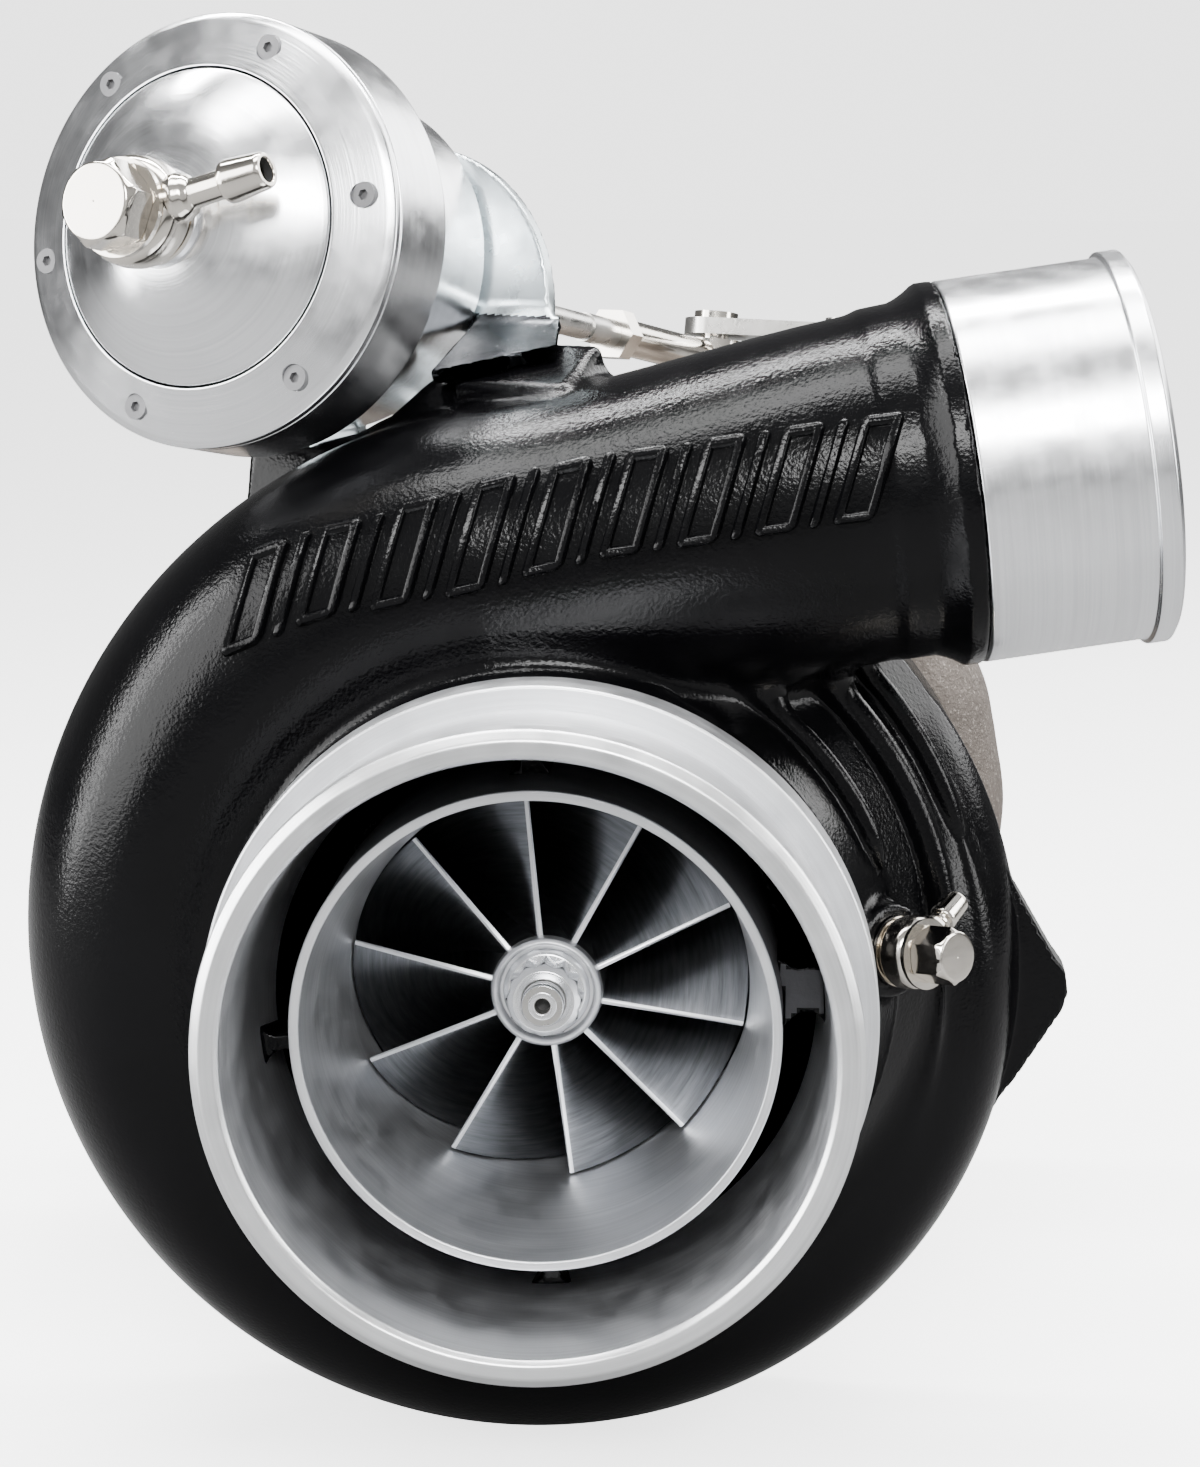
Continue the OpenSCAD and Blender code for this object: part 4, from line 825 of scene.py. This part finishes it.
# ------------------------------------------------------------------ signal fittings
def fitting(name, origin, to_seat, barb_dir, k, length, af, head, shank):
    """Banjo ring, barb and hex bolt. to_seat points from the bolt head to the seat, and k scales all of it: the
    barb's length, the hexagon's width across flats, the head's height and the shank's length."""
    def r(profile):
        return [(a * k, b * k) for a, b in profile]
    across = barb_dir - np.dot(barb_dir, to_seat) * to_seat
    seat = place(origin, axis_frame(to_seat, across))
    lathe(name + "_ring", r([(2.6, 0), (6.6, 0), (8.1, 0.5), (8.85, 1.7), (9.1, 4), (8.85, 6.3), (8.1, 7.5), (6.6, 8),
                             (2.6, 8)]), NICKEL, seat, 0.5 * k, 96, slot="nickel", replaces=name)
    stem = origin + to_seat * 4 * k
    lathe(name + "_barb", r([(1.5, 3), (4.0, 3), (4.0, 9.2), (3.3, 10.6), (2.45, 11.4), (2.4, length - 4.6),
                             (3.4, length - 4.2), (3.55, length - 3.4), (3.0, length + 2.8), (2.75, length + 3.4),
                             (2.05, length + 3.4), (1.9, length + 2.9)]),
          NICKEL, place(stem, axis_frame(barb_dir)), 0.22 * k, 64, slot="nickel")
    # The barb's bore is lined near black as painted shade
    lathe(name + "_bore", r([(1.88, length + 3), (1.88, length - 8), (0.05, length - 8)]), RUBBER_AND_HOLE_SHADE,
          place(stem, axis_frame(barb_dir)), 0, 32, closed=False, slot="nickel", outward=False)
    bolt = name + "_bolt"
    corner = af * 0.577
    lathe(bolt + "_head", r([(0.01, -1 - head), (af * 0.45, -1 - head), (af * 0.48, -0.9 - head),
                             (corner, 0.6 - head), (corner, -1.7), (af * 0.53, -1.05), (af * 0.4, -1.0),
                             (0.01, -1)]), NICKEL, seat, 0.25 * k, 192,
          limit=polygon_limit(af * k, math.pi / 6), slot="nickel", sharp=32, replaces=bolt)
    lathe(bolt + "_shank", r([(0.01, -1.2), (2.45, -1.2), (2.45, shank), (0.01, shank)]), NICKEL, seat, 0.2 * k, 32,
          slot="nickel")


fitting("actuator_banjo", CAN_AT + CAN @ np.array([0, -24.6, 0]), CAN[:, 1], CAN @ turn("Y", -16)[:, 0], 1.0, 22,
        12.8, 6.4, 16.5)
SIDE = BOOST @ turn("X", 90) @ np.diag([1, -1, 1])
fitting("boost_banjo", BOOST_AT + BOOST @ np.array([0, 0, 6.54]), -BOOST[:, 2], SIDE @ turn("Y", 120)[:, 0], 0.68, 17,
        12.4, 9.5, 19)


# ------------------------------------------------------------------ actuator bracket, one bent plate
PLATE = 3.0


def bracket_field(P):
    q = (P - CAN_AT) @ CAN
    u, s, v = q.T
    lobe = np.maximum(np.hypot(u - 12, v + 8) - 29.3, np.maximum(-11 - v, -20 - u))
    leg = np.maximum(np.abs(u + 3.5) - 9, np.maximum(-41 - v, v + 6))
    flat = np.minimum(np.minimum(np.hypot(u, v) - 26, lobe), leg)
    holes = 10.5 - np.hypot(u, v)
    for i in range(3):
        a = math.radians(30 + 120 * i)
        holes = np.maximum(holes, 2.7 - np.hypot(u - 18 * math.cos(a), v + 18 * math.sin(a)))
    for c in (-8, 1):
        holes = np.maximum(holes, 2.8 - np.hypot(u - c, v + 36.5))
    plate = smax(np.maximum(flat, holes), np.abs(s - 42 - PLATE / 2) - PLATE / 2, 0.5)
    foot = box_field(P, FOOT_AT, FOOT, (28, -17, 0.05), (54, 2.4, 2.6), 0.6)
    f = (P - FOOT_AT) @ FOOT
    slot = np.hypot(f[:, 0] - np.clip(f[:, 0], 42.4, 46.6), f[:, 1] + 12.5) - 2.4
    return smin(plate, smax(foot, -slot, 0.4), 3.0)


verts, faces, normals = skin_field(bracket_field, (-102, 72, 72), (0, 140, 155), 0.7)
# Faces of the foot, which get the zinc painted near black as a stand-in for its dark reflection
local = (verts - FOOT_AT) @ FOOT
in_foot = (local[:, 1] < 1.5) & (np.abs(local[:, 2] - 1.6) < 2.6) & (local[:, 0] > 27)
piece("bracket_plate", verts, faces, [ZINC, FOOT_REFLECTION_LOOK], place((0, 0, 0), np.eye(3)), slot="zinc", normals=normals,
      which=in_foot[faces].all(1).astype(int), replaces="actuator_bracket")


# ------------------------------------------------------------------ iron castings, rounded from their solids
def casting(name, source, voxel, rounds, sharp_at):
    """A voxel copy of a solid, relaxed away from its machined faces. sharp_at gives mm to the nearest one."""
    ob = bpy.data.objects.new(name, source.data.copy())
    bpy.context.scene.collection.objects.link(ob)
    ob.matrix_world = source.matrix_world
    m = ob.modifiers.new("voxels", "REMESH")
    m.mode, m.voxel_size, m.use_smooth_shade = "VOXEL", voxel * MM, True
    bpy.context.view_layer.update()
    made = bpy.data.meshes.new_from_object(ob.evaluated_get(bpy.context.evaluated_depsgraph_get()))
    world = np.array(source.matrix_world)
    bpy.data.objects.remove(ob)
    n = len(made.vertices)
    co = np.empty(n * 3, np.float64)
    made.vertices.foreach_get("co", co)
    co = co.reshape(n, 3) @ world[:3, :3].T + world[:3, 3]
    co = co / MM - INLET
    edges = np.empty(len(made.edges) * 2, np.int64)
    made.edges.foreach_get("vertices", edges)
    a, b = edges.reshape(-1, 2).T
    degree = np.bincount(np.concatenate([a, b]), minlength=n)[:, None]
    free = np.clip(sharp_at(co) / 3 - 0.2, 0.06, 1)[:, None]
    for _ in range(rounds):
        total = np.stack([np.bincount(a, co[b, k], n) + np.bincount(b, co[a, k], n) for k in range(3)], 1)
        co += RELAX * free * (total / degree - co)
    quads = np.empty(len(made.loops), np.int64)
    made.loops.foreach_get("vertex_index", quads)
    faces = quads.reshape(-1, 4)
    bpy.data.meshes.remove(made)
    return piece(name, co, faces, IRON, place((0, 0, 0), np.eye(3)), slot="cast_iron", replaces=source.name,
                 sharp=60)


VOXEL = 1.3
RELAX = 0.6
casting("turbine_casting", nodes["turbine_housing"], VOXEL, 22, lambda P: np.minimum.reduce(
    [np.abs(P[:, 1] - 242), np.abs(P[:, 1] - 150), np.abs(P[:, 2] + 86)]))
casting("bearing_casting", nodes["bearing_housing"], VOXEL, 12, lambda P: np.minimum.reduce(
    [np.abs(P[:, 1] - 106.4), np.abs(P[:, 1] - 150), np.abs(P[:, 1] - 158), np.abs(P[:, 2] - 37),
     np.abs(P[:, 2] + 46)]))


# ------------------------------------------------------------------ floor, light, camera
def flat_sheet(name, size, z, look):
    me = bpy.data.meshes.new(name)
    me.from_pydata([(-size, -size, z), (size, -size, z), (size, size, z), (-size, size, z)], [], [(0, 1, 2, 3)])
    me.materials.append(look)
    ob = bpy.data.objects.new(name, me)
    bpy.context.scene.collection.objects.link(ob)
    return ob


FLOOR = finish("floor", (0.86, 0.86, 0.86), 0.0, 0.6, vary=0.02, blotch=3)
tree = FLOOR.node_tree
pale = tree.nodes["Principled BSDF"]
pale.inputs["Emission Color"].default_value = (1, 1, 1, 1)
pale.inputs["Emission Strength"].default_value = 2.6
dim = node(tree, "BsdfDiffuse", {"Color": (0.2, 0.2, 0.2, 1)})
seen = node(tree, "LightPath")
both = node(tree, "MixShader", {0: seen.outputs["Is Camera Ray"], 1: dim.outputs["BSDF"], 2: pale.outputs["BSDF"]})
tree.links.new(both.outputs["Shader"], tree.nodes["Material Output"].inputs["Surface"])
flat_sheet("floor", 6.0, cad_low.z - 0.0005, FLOOR)


def softbox(name, at, aim, size, power, size_y=None, color=(1, 1, 1)):
    lamp = bpy.data.lights.new(name, "AREA")
    lamp.shape, lamp.size, lamp.size_y, lamp.energy = "RECTANGLE", size, size_y or size, power
    lamp.color = color
    ob = bpy.data.objects.new(name, lamp)
    bpy.context.scene.collection.objects.link(ob)
    ob.location = at
    ob.rotation_mode = "QUATERNION"
    ob.rotation_quaternion = (Vector(aim) - Vector(at)).to_track_quat("-Z", "Y")
    return ob


centre = (0.03, -0.12, 0.11)
softbox("top_light", (0.05, -0.2, 0.95), centre, 0.95, 15, 0.28)
softbox("top_strip", (0.02, 0.12, 0.75), centre, 0.9, 14, 0.06)
softbox("left_light", (-0.9, -0.5, 0.35), centre, 0.75, 20, 0.9)
softbox("left_strip", (-0.75, -0.2, 0.3), centre, 0.08, 3, 0.7)
softbox("right_light", (0.9, -0.25, 0.45), centre, 0.3, 8, 0.7)
softbox("back_light", (0.8, 0.6, 0.7), centre, 0.9, 12, 0.7)
softbox("front_light", (0.15, -1.25, 0.85), centre, 0.7, 26, 0.4)

world = bpy.data.worlds.new("studio")
bpy.context.scene.world = world
world.use_nodes = True
wt = world.node_tree
split = node(wt, "SeparateXYZ", {"Vector": node(wt, "TexCoord").outputs["Generated"]})
grade = node(wt, "MapRange", {"Value": split.outputs["Y"], "From Min": -1.0, "From Max": 0.0,
                              "To Min": 0.85, "To Max": 0.18})
dim_room = wt.nodes["Background"]
dim_room.inputs["Color"].default_value = (1, 1, 1, 1)
wt.links.new(grade.outputs["Result"], dim_room.inputs["Strength"])
plain = node(wt, "Background", {"Color": (1, 1, 1, 1), "Strength": 2.95})
choose = node(wt, "MixShader", {0: node(wt, "LightPath").outputs["Is Camera Ray"],
                                1: dim_room.outputs["Background"], 2: plain.outputs["Background"]})
wt.links.new(choose.outputs["Shader"], wt.nodes["World Output"].inputs["Surface"])

# Camera, fitted to the outlines of the turned parts in the photograph
camera = bpy.data.objects.new("camera", bpy.data.cameras.new("camera"))
bpy.context.scene.collection.objects.link(camera)
right, up = (0.9984253, 0.0560975, 0.0), (-0.01006595, 0.1791541, 0.98376953)
back, eye = (0.05518702, -0.98222038, 0.17943666), (0.07028, -0.69405, 0.23158)
camera.matrix_world = Matrix([[right[i], up[i], back[i], eye[i]] for i in range(3)] + [[0, 0, 0, 1]])
camera.data.lens, camera.data.sensor_width = 85.9, 36.0
bpy.context.scene.camera = camera
